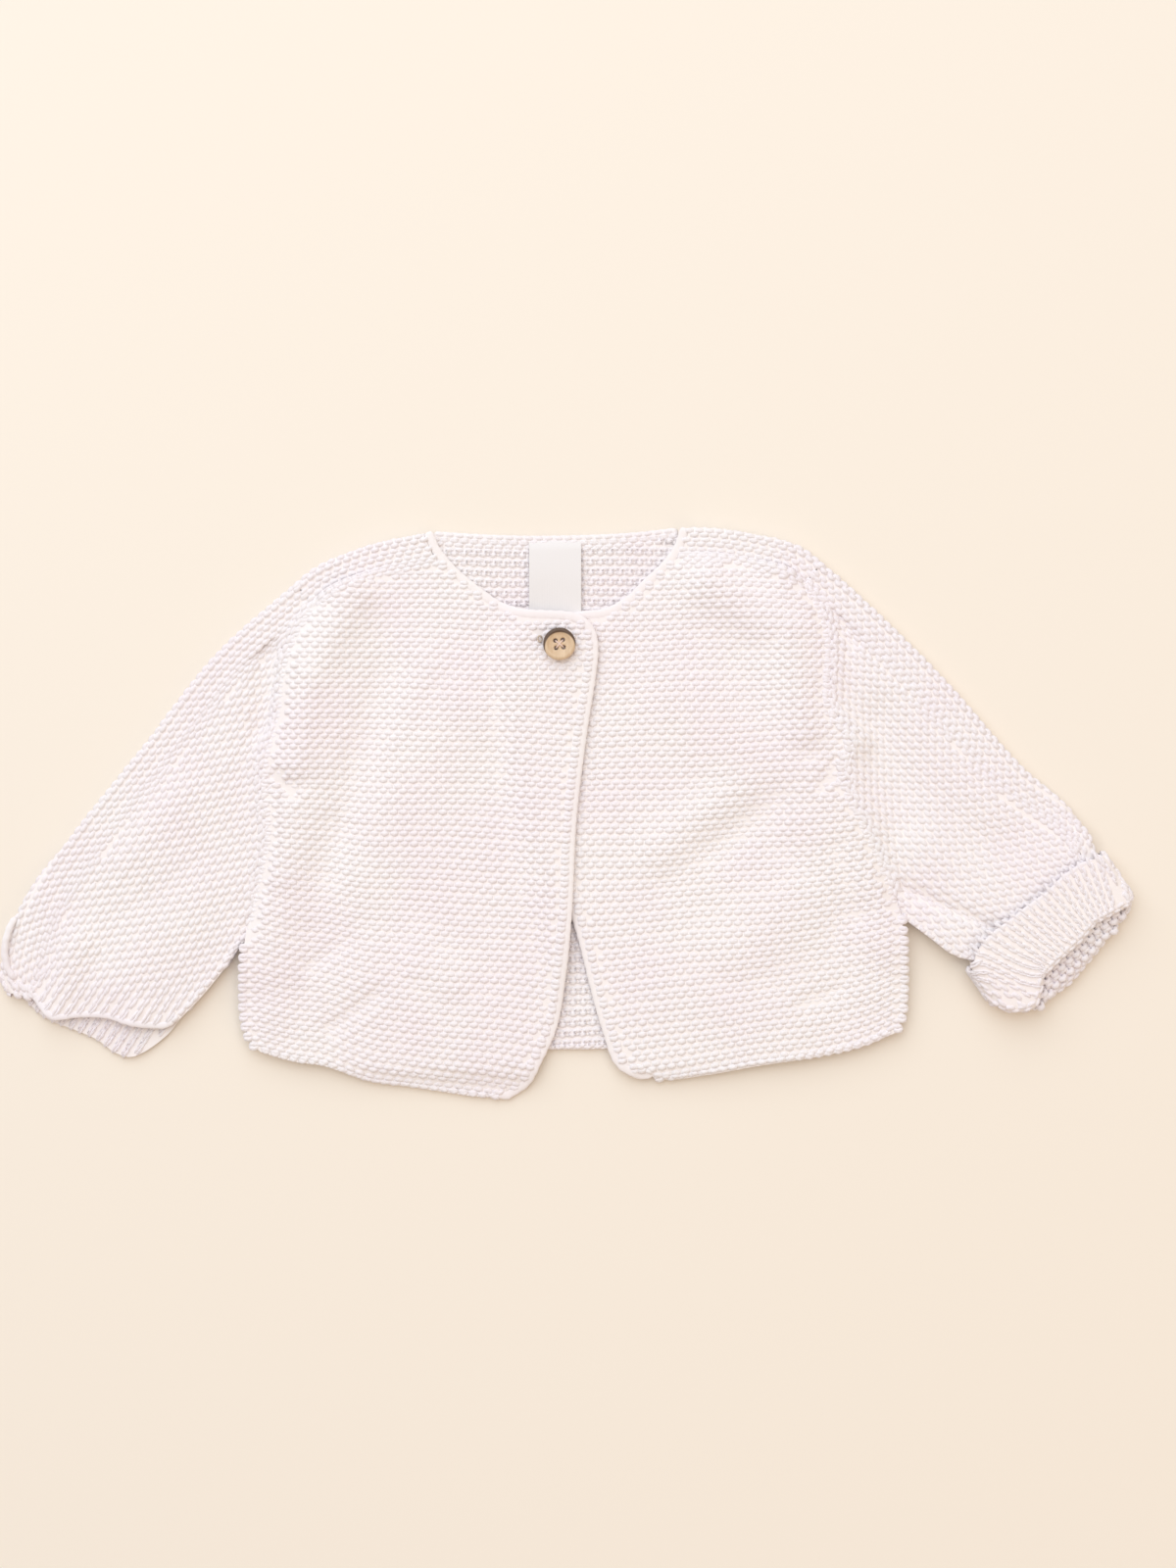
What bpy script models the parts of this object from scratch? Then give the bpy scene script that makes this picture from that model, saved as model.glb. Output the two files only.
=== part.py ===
"""A baby cardigan in garter stitch, laid flat with its front up.

The cardigan is knitted in flat pieces: a back and two overlapping fronts, each with the matching half
of the sleeves. The back pieces wrap forward over the shoulder and sleeve folds, so the overarm seams
lie on the front side. A smooth narrow edging runs along both fronts and the neck, one wooden button
closes the fronts at the neck, and the left cuff is turned up.

Sizes are in millimetres and become metres when a mesh is made. +X is the wearer's left, +Y is towards
the neck and +Z is up from the surface that the cardigan lies on.
"""

import math

import bmesh
import bpy
import numpy as np
from mathutils import Vector, geometry

# ---------------------------------------------------------------- driving sizes

MM = 0.001
WALL = 2.4                      # thickness of the knitted cloth
GAP = 0.3                       # between pieces that are sewn together or lie on each other
PARTING = 0.5                   # between the body and a sleeve where the cloth is parted at the armhole
LAYER = WALL + GAP              # height from one layer of cloth to the next
FOLD = WALL + GAP / 2           # outer radius of a flat fold
FOLD_LINE = (WALL + GAP) / 2    # radius of such a fold at the middle of the cloth
EDGE_THINNING = 0.45            # share of the thickness that is left at a rounded edge
WRAP = 10.5                     # how far the back comes forward over a fold, up to the seam
EDGING = 3.0                    # width of the edging
FLAP_MARGIN = 0.7               # more room for the edging where it bends over the top of the shoulder
CENTRE = (-0.11, -0.75)         # plan point that becomes the origin: the middle of the outline

CELL = 11.0                     # usual distance between grid lines of a panel
FOLD_STEPS = 5                  # segments round a flat fold

BUTTON_CENTRE = (-2.7, 61.7)
# radius, height of the top, height of the underside
BUTTON_PROFILE = [(0.0, 1.7, 0.0), (3.4, 1.7, 0.0), (4.2, 2.3, 0.0), (5.0, 2.6, 0.2), (5.6, 2.4, 0.6),
                  (6.0, 1.8, 1.0)]
BUTTON_HOLES = [(1.45, 1.45), (-1.45, 1.45), (-1.45, -1.45), (1.45, -1.45)]
BUTTON_HOLE_RADIUS = 0.85
LABEL_WALL = 0.9
# The label's outline in plan: left end at the neck, right end at the neck, right end, left end below.
LABEL_CORNERS = [(-14.0, 101.9), (5.3, 102.2), (5.3, 75.0), (-14.0, 73.2)]

# ---------------------------------------------------------------- outlines in plan: x, y

RIGHT_UNDERARM = (-119.2, -47.1)        # where the sleeve's lower edge meets the side
LEFT_UNDERARM = (123.9, -39.1)
RIGHT_SHOULDER = (-101.4, 84.6)         # where the armhole meets the fold over the shoulder
LEFT_SHOULDER = (95.2, 92.3)
RIGHT_NECK = (-50.0, 104.3)
LEFT_NECK = (42.0, 105.7)

RIGHT_SIDE = [(-113.8, -89.4), (-117.6, -84.6), (-119.6, -77.3), (-119.8, -62.8), RIGHT_UNDERARM]
LEFT_SIDE = [(121.8, -82.4), (124.3, -76.3), (124.9, -66.4), (124.7, -53.0), LEFT_UNDERARM]
BACK_HEM = [(-113.8, -86.8), (-65.0, -88.3), (15.8, -88.5), (66.1, -87.0), (121.8, -80.6)]
BACK_NECK = [RIGHT_NECK, (-37.7, 103.4), (-23.8, 102.8), (5.3, 102.8), (26.0, 103.9), LEFT_NECK]
RIGHT_SHOULDER_FOLD = [(-96.3, 89.0), (-75.9, 98.5), RIGHT_NECK]
LEFT_SHOULDER_FOLD = [(87.9, 98.1), (70.4, 103.2), (51.5, 105.7), LEFT_NECK]

# The line where the body ends, hidden under the armhole fold; it goes on to the overarm seam.
RIGHT_ARMHOLE = [RIGHT_UNDERARM, (-109.0, -24.0), (-104.5, 0.0), (-102.0, 22.0), (-99.0, 45.0),
                 (-95.0, 65.0)]
LEFT_ARMHOLE = [LEFT_UNDERARM, (111.5, -24.0), (101.5, -9.0), (95.5, 6.0), (93.0, 24.0), (89.5, 45.0),
                (87.0, 66.0)]
# The armhole fold, where a front laps over its sleeve.
RIGHT_ARMHOLE_FOLD = [RIGHT_UNDERARM, (-116.7, -35.5), (-113.8, -21.3), (-111.6, -9.0), (-113.0, 10.0),
                      (-111.9, 21.7), (-108.3, 31.8), (-106.8, 44.6), (-104.6, 58.1), (-99.9, 68.2)]
LEFT_ARMHOLE_FOLD = [LEFT_UNDERARM, (119.6, -26.0), (111.2, -6.4), (103.6, 10.0), (102.5, 18.0),
                     (105.2, 26.0), (101.7, 32.6), (97.0, 41.5), (97.4, 50.0), (97.4, 64.6), (93.7, 76.3)]

RIGHT_HEM = [(-113.8, -89.4), (-101.4, -93.0), (-90.8, -94.5), (-72.6, -100.6), (-59.9, -102.3),
             (-45.3, -104.6), (-32.0, -106.4), (-26.5, -106.2)]
LEFT_HEM = [(121.8, -82.4), (111.2, -86.8), (92.6, -91.2), (69.7, -94.8), (51.1, -98.1), (34.0, -99.3)]

# The outer line of each front's edging, from the hem up the centre and round the neck.
RIGHT_TOP_CORNER = (7.1, 71.5)
LEFT_TOP_CORNER = (-9.6, 67.6)
RIGHT_EDGE = [(-21.0, -107.2), (-14.0, -102.1), (-9.3, -93.4), (-4.5, -83.2), (-0.2, -60.6), (2.0, -38.0),
              (3.5, -6.4), (7.5, 28.6), (11.1, 51.9), (11.8, 59.1), (10.6, 66.8), RIGHT_TOP_CORNER,
              (1.6, 73.7), (-6.7, 74.4), (-15.1, 74.9), (-23.5, 77.3), (-31.8, 82.8), (-42.0, 91.5),
              (-47.5, 98.6), RIGHT_NECK]
LEFT_EDGE = [(25.0, -99.2), (19.5, -96.0), (12.9, -81.0), (8.2, -64.2), (4.5, -49.3), (-0.2, -33.7),
             (-6.0, -8.2), (-10.7, 20.9), (-13.7, 46.4), (-12.9, 60.0), LEFT_TOP_CORNER, (-2.4, 71.9),
             (6.4, 74.4), (13.3, 75.2), (21.3, 79.2), (28.6, 86.1), (35.5, 92.6), (40.2, 99.6), LEFT_NECK]

RIGHT_SLEEVE_OUTER = [RIGHT_SHOULDER, (-129.8, 59.5), (-156.7, 25.7), (-183.6, -7.8), (-197.1, -25.3),
                      (-204.6, -38.0), (-208.8, -48.0), (-210.6, -57.0), (-210.4, -62.5), (-208.0, -67.2)]
RIGHT_SLEEVE_LOWER = [RIGHT_UNDERARM, (-126.1, -57.0), (-138.1, -71.5), (-144.6, -78.0)]
# The wrist ends of the sleeve's front half and back half, from the lower edge up to the seam or the fold.
RIGHT_MOUTH_FRONT = [(-144.6, -78.0), (-149.0, -80.3), (-154.9, -80.3), (-162.1, -79.3), (-170.3, -76.8),
                     (-181.5, -76.4), (-191.0, -77.0)]
RIGHT_MOUTH_BACK = [(-144.6, -78.0), (-147.5, -82.0), (-152.3, -86.3), (-158.2, -90.2), (-162.1, -91.7),
                    (-167.9, -90.2), (-174.6, -85.4), (-183.4, -81.5), (-193.5, -77.5)]
# Towards the wrist the seam moves away from the sleeve's outer fold or closer to it, by this share of
# WRAP, and at the very end it is carried along by the rolled corner of the wrist, by this much in plan.
RIGHT_SEAM_DRIFT = 0.5
LEFT_SEAM_DRIFT = -0.5
RIGHT_SEAM_SWEEP = (-4.5, -9.5)
LEFT_SEAM_SWEEP = (0.0, 0.0)

# ---------------------------------------------------------------- the turned-up cuff

# Its own frame: the origin lies on the turned edge, "along" runs down the sleeve and "across" towards
# the outer fold.
CUFF_ORIGIN = np.array((178.2, -30.8))
CUFF_ALONG = np.array((0.56, -0.828))
CUFF_ACROSS = np.array((0.828, 0.56))
CUFF_CENTRES = (-35.75, 21.3)           # across: centres of its two round ends
CUFF_STEPS = 5                          # segments round each round end
CUFF_RETURN = 1.6                       # how far its cloth turns back into the sleeve
CUFF_ROOM = 1.5                         # between that cloth and the end of the sleeve
CUFF_RAMP = (-30.0, -3.0)               # along: where the sleeve rises to lie on the cuff's lower layer
# across, along at: the turned edge, the front's fold at the mouth, the back's fold at the mouth
CUFF_TABLE = [
    (-41.0, 10.0, 17.0, 18.0),
    (-39.0, 7.6, 24.0, 24.5),
    (-35.8, 3.4, 28.6, 28.9),
    (-31.0, 1.2, 31.6, 32.4),
    (-27.0, 0.2, 32.2, 33.8),
    (-22.5, -0.2, 28.4, 33.6),
    (-19.0, -0.1, 24.6, 33.5),
    (-11.5, -0.8, 23.2, 33.2),
    (0.0, -1.2, 21.6, 30.2),
    (8.0, -2.7, 19.2, 27.6),
    (16.0, -2.9, 20.0, 25.0),
    (23.0, -1.0, 20.5, 22.6),
    (27.0, 0.0, 17.0, 18.5),
]
CUFF_REACH = -36.2                      # across: the sleeve's lower edge inside the cuff


def in_cuff(along, across):
    """Plan point from the cuff's own frame."""
    return tuple(CUFF_ORIGIN + along * CUFF_ALONG + across * CUFF_ACROSS)


CUFF_ENTRY = (5.5, CUFF_REACH)          # along, across: where the sleeve's lower edge passes inside the cuff
LEFT_SLEEVE_OUTER = [LEFT_SHOULDER, (114.1, 75.5), (141.8, 47.9), (170.5, 15.5), in_cuff(-16.5, 25.6),
                     in_cuff(-8.5, 25.4), in_cuff(-4.0, 23.85), in_cuff(3.0, 23.85), in_cuff(12.0, 23.85)]
LEFT_SLEEVE_LOWER = [LEFT_UNDERARM, (135.0, -47.3), in_cuff(-2.5, -42.3), in_cuff(1.5, -39.8),
                     in_cuff(*CUFF_ENTRY), in_cuff(13.0, CUFF_REACH), in_cuff(21.5, CUFF_REACH)]

# ---------------------------------------------------------------- soft folds

# Ridges in the cloth, each along a straight line in plan.
# from x, from y, to x, to y, width, height
RIGHT_FRONT_FOLDS = [
    (-80.0, 80.0, -97.0, 50.0, 9.0, 2.4),
    (-97.0, 50.0, -102.0, 18.0, 8.0, 2.6),
    (-103.0, 4.0, -107.0, -24.0, 8.0, 1.8),
    (-111.0, -36.0, -110.0, -74.0, 9.0, 1.2),
    (-42.0, 36.0, -82.0, -22.0, 17.0, 1.5),
    (-74.0, -62.0, -40.0, -80.0, 16.0, 1.2),
]
LEFT_FRONT_FOLDS = [
    (54.0, 84.0, 84.0, 66.0, 10.0, 2.4),
    (84.0, 66.0, 91.0, 30.0, 9.0, 2.6),
    (95.0, 14.0, 112.0, -28.0, 8.0, 1.8),
    (112.0, -40.0, 113.0, -66.0, 10.0, 1.2),
    (42.0, 40.0, 76.0, 16.0, 16.0, 1.6),
    (104.0, -22.0, 62.0, -52.0, 13.0, 1.8),
    (40.0, -66.0, 78.0, -78.0, 15.0, 1.1),
]
# The same for the sleeves' front halves, whose seam edges stay down.
RIGHT_SLEEVE_FOLDS = [
    (-126.0, 34.0, -160.0, -12.0, 17.0, 1.6),
    (-136.0, -34.0, -166.0, -66.0, 13.0, 1.2),
    (-184.0, -50.0, -196.0, -78.0, 9.0, 2.2),
    (-160.0, -74.0, -164.0, -84.0, 7.0, 1.4),
]
LEFT_SLEEVE_FOLDS = [
    (126.0, 50.0, 160.0, 8.0, 15.0, 1.4),
    (128.0, -14.0, 158.0, -36.0, 15.0, 1.5),
]
LAP_MARGIN = 7.0                # a front is fully raised this far before it laps over its sleeve
LAP_RAMP = 22.0                 # and rises over this length
LAP_START = 30.0                # it starts to rise this far below the underarm
CENTRE_MARGIN = 4.0             # the same two lengths where the right front lies over the left front
CENTRE_RAMP = 14.0
HEM_MARGIN = 6.0                # a front sinks to the floor from this far past the hem of the back
HEM_RAMP = 9.0

# colour, roughness
MATERIALS = {
    "knit": ((0.86, 0.80, 0.775), 0.9),
    "edging": ((0.90, 0.86, 0.83), 0.85),
    "wood": ((0.58, 0.40, 0.24), 0.5),
    "label": ((0.88, 0.87, 0.85), 0.7),
}


# ---------------------------------------------------------------- lines and grids

class Line:
    """A line in plan, read by its share of the length from 0 to 1."""

    def __init__(self, points, smooth=True, share=None):
        points = np.array(points, float)
        self.xy = hermite(points) if smooth else points
        steps = np.hypot(*np.diff(self.xy, axis=0).T)
        self.length = steps.sum()
        self.share = np.concatenate([[0.0], np.cumsum(steps)]) / self.length if share is None else share

    def at(self, share):
        return np.stack([np.interp(share, self.share, self.xy[:, axis]) for axis in (0, 1)], axis=-1)

    def shifted(self, distance):
        """The line moved to its own left by a distance, or one for each point, with the shares kept."""
        ahead = unit(np.gradient(self.xy, axis=0))
        left = np.stack([-ahead[:, 1], ahead[:, 0]], axis=-1)
        return Line(self.xy + np.reshape(distance, (-1, 1)) * left, False, self.share)

    def back(self):
        return Line(self.xy[::-1], smooth=False)

    def then(self, other):
        return Line(np.concatenate([self.xy, other.xy]), smooth=False)

    def to(self, point):
        return Line(np.concatenate([self.xy, [point]]), smooth=False)

    def nearest(self, point):
        """The share at which the line comes closest to a point."""
        share = np.linspace(0.0, 1.0, 1200)
        return share[np.argmin(np.hypot(*(self.at(share) - point).T))]

    def part(self, start, end):
        return Line(self.at(np.linspace(start, end, 160)), smooth=False)


def hermite(points, steps=8):
    """A smooth curve through points, with slopes from each point's neighbours."""
    knots = np.concatenate([[0.0], np.cumsum(np.hypot(*np.diff(points, axis=0).T))])
    slopes = np.gradient(points, knots, axis=0)
    out = []
    for i in range(len(points) - 1):
        span = knots[i + 1] - knots[i]
        t = np.linspace(0, 1, steps, endpoint=False)[:, None]
        out.append((2 * t**3 - 3 * t**2 + 1) * points[i] + (3 * t**2 - 2 * t**3) * points[i + 1]
                   + span * ((t**3 - 2 * t**2 + t) * slopes[i] + (t**3 - t**2) * slopes[i + 1]))
    return np.concatenate(out + [points[-1:]])


def crossing(line, other):
    """The shares at which two lines come closest."""
    share = np.linspace(0.0, 1.0, 900)
    apart = np.linalg.norm(line.at(share)[:, None] - other.at(share)[None], axis=-1)
    first, second = np.unravel_index(apart.argmin(), apart.shape)
    return share[first], share[second]


def unit(vectors):
    return vectors / np.linalg.norm(vectors, axis=-1, keepdims=True)


def smoothstep(share):
    share = np.clip(share, 0.0, 1.0)
    return share * share * (3.0 - 2.0 * share)


def shares(length, edges=(True, True)):
    """Shares from 0 to 1 about a cell apart, with one more near each end that has a rounded edge."""
    inner = np.linspace(0.0, 1.0, max(2, round(length / CELL)) + 1)[1:-1]
    first, last = [[1.2 / length] if edge else [] for edge in edges]
    return np.concatenate([[0.0], first, inner, 1.0 - np.array(last), [1.0]])


def patch(low, high, first, last, u, v):
    """Plan points of a four-sided panel: low and high run with u, first and last run with v."""
    u_at, v_at = u[None, :, None], v[:, None, None]
    across = (1 - v_at) * low.at(u)[None] + v_at * high.at(u)[None]
    along = (1 - u_at) * first.at(v)[:, None] + u_at * last.at(v)[:, None]
    corners = ((1 - u_at) * (1 - v_at) * low.at(0.0) + u_at * (1 - v_at) * low.at(1.0)
               + (1 - u_at) * v_at * high.at(0.0) + u_at * v_at * high.at(1.0))
    return across + along - corners


def raised(plan, height):
    """Plan points with their height, which is a number or one for each point."""
    return np.concatenate([plan, np.broadcast_to(height, plan.shape[:-1])[..., None]], axis=-1)


def layer(number):
    """Height of the middle of a layer of cloth, counted from the floor."""
    return number * LAYER + WALL / 2


def folds(plan, table):
    """Height that the soft folds of a table add at each plan point."""
    height = np.zeros(plan.shape[:-1])
    for from_x, from_y, to_x, to_y, width, top in table:
        start, run = np.array((from_x, from_y)), np.array((to_x - from_x, to_y - from_y))
        share = np.clip((plan - start) @ run / (run @ run), 0.0, 1.0)
        off = np.linalg.norm(plan - start - share[..., None] * run, axis=-1)
        height = np.maximum(height, top * np.exp(-((off / width) ** 2)))
    return height


def beside(plan, line, side):
    """How far each plan point lies past a line that runs up the garment, towards side -1 or +1."""
    order = np.argsort(line.xy[:, 1])
    return side * (plan[..., 0] - np.interp(plan[..., 1], line.xy[order, 1], line.xy[order, 0]))


# ---------------------------------------------------------------- objects

def material(name):
    made = bpy.data.materials.get(name)
    if made is None:
        colour, roughness = MATERIALS[name]
        made = bpy.data.materials.new(name)
        made.use_nodes = True
        shader = made.node_tree.nodes["Principled BSDF"]
        shader.inputs["Base Color"].default_value = (*colour, 1.0)
        shader.inputs["Roughness"].default_value = roughness
    return made


def add_object(name, shape, finish):
    bmesh.ops.recalc_face_normals(shape, faces=shape.faces)
    mesh = bpy.data.meshes.new(name)
    shape.to_mesh(mesh)
    shape.free()
    mesh.materials.append(material(finish))
    mesh.shade_smooth()
    made = bpy.data.objects.new(name, mesh)
    bpy.context.collection.objects.link(made)
    return made


def metres(point):
    return ((point[0] - CENTRE[0]) * MM, (point[1] - CENTRE[1]) * MM, point[2] * MM)


def sheet(name, grids, finish="knit", wall=WALL):
    """Cloth of even thickness round grids of points at its middle, thinner along its open edges."""
    shape = bmesh.new()
    for grid in grids:
        points = [[shape.verts.new(metres(point)) for point in row] for row in grid]
        for i in range(len(points) - 1):
            for j in range(len(points[0]) - 1):
                shape.faces.new((points[i][j], points[i][j + 1], points[i + 1][j + 1], points[i + 1][j]))
    bmesh.ops.remove_doubles(shape, verts=shape.verts, dist=0.01 * MM)
    shape.verts.index_update()
    inside = [vert.index for vert in shape.verts if not vert.is_boundary]
    made = add_object(name, shape, finish)
    made.vertex_groups.new(name="full thickness").add(inside, 1.0, "REPLACE")
    thick = made.modifiers.new("cloth", "SOLIDIFY")
    thick.thickness = wall * MM
    thick.offset = 0.0
    thick.vertex_group = "full thickness"
    thick.thickness_vertex_group = EDGE_THINNING


def rod(name, path, width, height, finish, sides=8):
    """A rounded rod along a path of points, lying flat, with closed ends."""
    ahead = unit(np.gradient(path[:, :2], axis=0))
    left = np.stack([-ahead[:, 1], ahead[:, 0]], axis=-1)
    shape = bmesh.new()
    rings = []
    for point, aside in zip(path, left):
        ring = []
        for k in range(sides):
            angle = 2 * math.pi * (k + 0.5) / sides
            out = width / 2 * math.cos(angle) / math.cos(math.pi / sides)
            up = height / 2 * math.sin(angle) / math.cos(math.pi / sides)
            ring.append(shape.verts.new(metres((*(point[:2] + aside * out), point[2] + up))))
        rings.append(ring)
    for ring, following in zip(rings, rings[1:]):
        for k in range(sides):
            after = (k + 1) % sides
            shape.faces.new((ring[k], ring[after], following[after], following[k]))
    shape.faces.new(rings[0][::-1])
    shape.faces.new(rings[-1])
    add_object(name, shape, finish)


def fold_over(outer, seam, start):
    """Cloth that turns up round a flat fold and comes forward to a seam: a grid from below to above.

    outer holds the fold's outermost plan points, seam the plan points where the cloth ends above, and
    start the edge of the cloth below, which this cloth continues."""
    out = unit(outer - seam)
    centre = outer - FOLD * out
    rows = [start]
    for angle in np.linspace(-math.pi / 2, math.pi / 2, FOLD_STEPS + 1)[1:]:
        rows.append(raised(centre + FOLD_LINE * math.cos(angle) * out, FOLD + FOLD_LINE * math.sin(angle)))
    for share in (0.5, 0.86, 1.0):
        rows.append(raised(centre + share * (seam - centre), FOLD + FOLD_LINE))
    return np.array(rows)


# ---------------------------------------------------------------- body

class Half:
    """The lines of one half of the cardigan: sign -1 is the right half and +1 the left."""

    def __init__(self, sign, side, hem, armhole, armhole_fold, sleeve_outer, shoulder_fold, edge, top_corner,
                 seam_drift, seam_sweep):
        self.sign, self.side, self.hem = sign, side, hem
        self.edge = Line(edge)
        self.inner_edge = self.edge.shifted(-sign * (EDGING + GAP))
        corner = self.inner_edge.nearest(top_corner)
        self.centre_edge = self.inner_edge.part(0.0, corner)

        # One line runs up the sleeve's fold, over the shoulder and on to the neck.
        over = Line([*sleeve_outer[::-1], *shoulder_fold])
        split = np.argmin(np.hypot(*(over.xy - sleeve_outer[0]).T))
        up_to = over.share[split]
        sleeve_share = 1.0 - over.share[:split + 1][::-1] / up_to
        shoulder_share = (over.share[split:] - up_to) / (1.0 - up_to)
        sleeve_lines, shoulder_lines = [], []
        wrap = WRAP * (1.0 + seam_drift * smoothstep((0.3 - over.share) / 0.3))
        sweep = smoothstep((0.09 - over.share) / 0.09)[:, None] * np.array(seam_sweep)
        for distance, swept in ((0.0, 0.0), (FOLD, 0.0), (wrap, sweep), (wrap + GAP, sweep)):
            moved = over.shifted(sign * distance).xy + swept
            sleeve_lines.append(Line(moved[:split + 1][::-1], False, sleeve_share))
            shoulder_lines.append(Line(moved[split:], False, shoulder_share))
        self.sleeve_fold, self.sleeve_centre, self.sleeve_wrap, self.sleeve_seam = sleeve_lines
        fold, centre, wrapped, seam = shoulder_lines
        start = PARTING / fold.length
        flap_end = self.edge.shifted(-sign * (EDGING + GAP + FLAP_MARGIN))
        self.shoulder_fold = fold.part(start, fold.nearest(flap_end.xy[-1]))
        self.shoulder_centre = centre.part(start, crossing(centre, flap_end)[0])
        self.shoulder_wrap = wrapped.part(start, crossing(wrapped, flap_end)[0])

        seam_end, edge_end = crossing(seam, self.inner_edge)
        self.top = seam.part(0.0, seam_end).then(self.inner_edge.part(corner, edge_end).back())
        self.neckline_from = seam.length * seam_end / self.top.length
        self.edge_over_flap = self.edge.nearest(self.inner_edge.at(edge_end))
        self.armhole = Line([*armhole, tuple(seam.xy[0])])
        self.armhole_fold = Line([*armhole_fold, tuple(seam.xy[0])])


def lap_lift(plan, half):
    """How far a front is raised, as a share of a layer, where its armhole fold laps over the sleeve."""
    past = beside(plan, half.armhole, half.sign)
    from_below = smoothstep((plan[..., 1] - half.side[-1][1] + LAP_START) / (LAP_START - 8.0))
    return smoothstep((past + LAP_MARGIN + LAP_RAMP) / LAP_RAMP) * from_below


def hem_drop(plan):
    """How far a front sinks, as a share of a layer, where it reaches past the back's hem to the floor."""
    hem = Line(BACK_HEM).xy
    past = np.interp(plan[..., 0], hem[:, 0], hem[:, 1]) - plan[..., 1]
    return smoothstep((past - HEM_MARGIN) / HEM_RAMP)


def centre_line(half, top_corner):
    """The outer line of a front's centre edge, without its neckline."""
    return half.edge.part(0.0, half.edge.nearest(top_corner))


def front_height(plan, half, other):
    """Height of the middle of a front's cloth."""
    lift = lap_lift(plan, half)
    if half.sign < 0:
        past = beside(plan, centre_line(other, LEFT_TOP_CORNER), 1)
        lift = np.maximum(lift, smoothstep((past + CENTRE_MARGIN + CENTRE_RAMP) / CENTRE_RAMP))
        soft = folds(plan, RIGHT_FRONT_FOLDS)
    else:
        past = beside(plan, centre_line(other, RIGHT_TOP_CORNER), 1)
        soft = folds(plan, LEFT_FRONT_FOLDS) * smoothstep((past - 2.0) / 12.0)
    drop = hem_drop(plan)
    rise = ((LAYER * lift) ** 3 + soft ** 3) ** (1 / 3)
    return layer(1) + rise * (1 - drop) - LAYER * drop


def front(name, half, other):
    """One front; returns its cloth's edge along the centre and the neckline."""
    outer_edge = Line(half.side).then(half.armhole_fold)
    hem = Line([*half.hem, tuple(half.centre_edge.xy[0])])
    u = shares(half.top.length)
    plan = patch(hem, half.top, outer_edge, half.centre_edge, u, shares(half.centre_edge.length))
    grid = raised(plan, front_height(plan, half, other))
    sheet(name, [grid])
    neckline = grid[-1, u > half.neckline_from][::-1]
    return np.concatenate([grid[:, -1], neckline[1:]])


def edging(name, half, cloth_edge):
    """The narrow edging of a front, off the edge of its cloth by a gap, on to the top of the shoulder."""
    plan = cloth_edge[:, :2]
    outline = half.edge.at(np.linspace(0.0, 1.0, 600))
    nearest = outline[np.argmin(np.linalg.norm(plan[:, None] - outline[None], axis=-1), axis=1)]
    path = raised(plan + unit(nearest - plan) * (GAP + EDGING / 2), cloth_edge[:, 2])
    middle = half.edge.shifted(-half.sign * EDGING / 2)
    rest = middle.at(np.linspace(half.edge_over_flap, 1.0, 4)[1:])
    rod(name, np.concatenate([path, raised(rest, layer(1))]), EDGING, WALL, "edging")


def back(right, left):
    """The back, which wraps forward over both shoulder folds, and the edging of its neck."""
    neck = Line(BACK_NECK).shifted(-(EDGING + GAP))
    top = right.shoulder_centre.then(neck).then(left.shoulder_centre.back())
    right_end = right.shoulder_centre.length / top.length
    left_start = 1.0 - left.shoulder_centre.length / top.length
    ends = []
    for half, corner in ((right, BACK_HEM[0]), (left, BACK_HEM[-1])):
        parting = half.armhole.shifted(half.sign * PARTING)
        side = Line([corner, *half.side[1:-1], tuple(parting.xy[0])])
        ends.append(side.then(parting).to(half.shoulder_centre.xy[0]))
    over_right = right_end * shares(right.shoulder_centre.length)
    over_left = 1.0 - (1.0 - left_start) * shares(left.shoulder_centre.length)[::-1]
    between = np.linspace(right_end, left_start, round(neck.length / CELL) + 1)[1:-1]
    u = np.concatenate([over_right, between, over_left])
    plan = patch(Line(BACK_HEM), top, *ends, u, shares(ends[0].length))
    grid = raised(plan, layer(0))
    count = len(over_right)
    flaps = [
        fold_over(right.shoulder_fold.at(u[:count] / right_end),
                  right.shoulder_wrap.at(u[:count] / right_end), grid[-1, :count]),
        fold_over(left.shoulder_fold.at((1.0 - u[-len(over_left):]) / (1.0 - left_start)),
                  left.shoulder_wrap.at((1.0 - u[-len(over_left):]) / (1.0 - left_start)),
                  grid[-1, -len(over_left):]),
    ]
    sheet("back", [grid, *flaps])
    path = Line(BACK_NECK).shifted(-EDGING / 2).at(np.linspace(0.015, 0.955, 12))
    rod("edging_back", raised(path, layer(0)), EDGING, WALL, "edging")


# ---------------------------------------------------------------- sleeves

def cuff_rise(plan):
    """How far the left sleeve rises to pass inside its turned-up cuff."""
    start, end = CUFF_RAMP
    return LAYER * smoothstep(((plan - CUFF_ORIGIN) @ CUFF_ALONG - start) / (end - start))


def no_rise(plan):
    return np.zeros(plan.shape[:-1])


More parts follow.
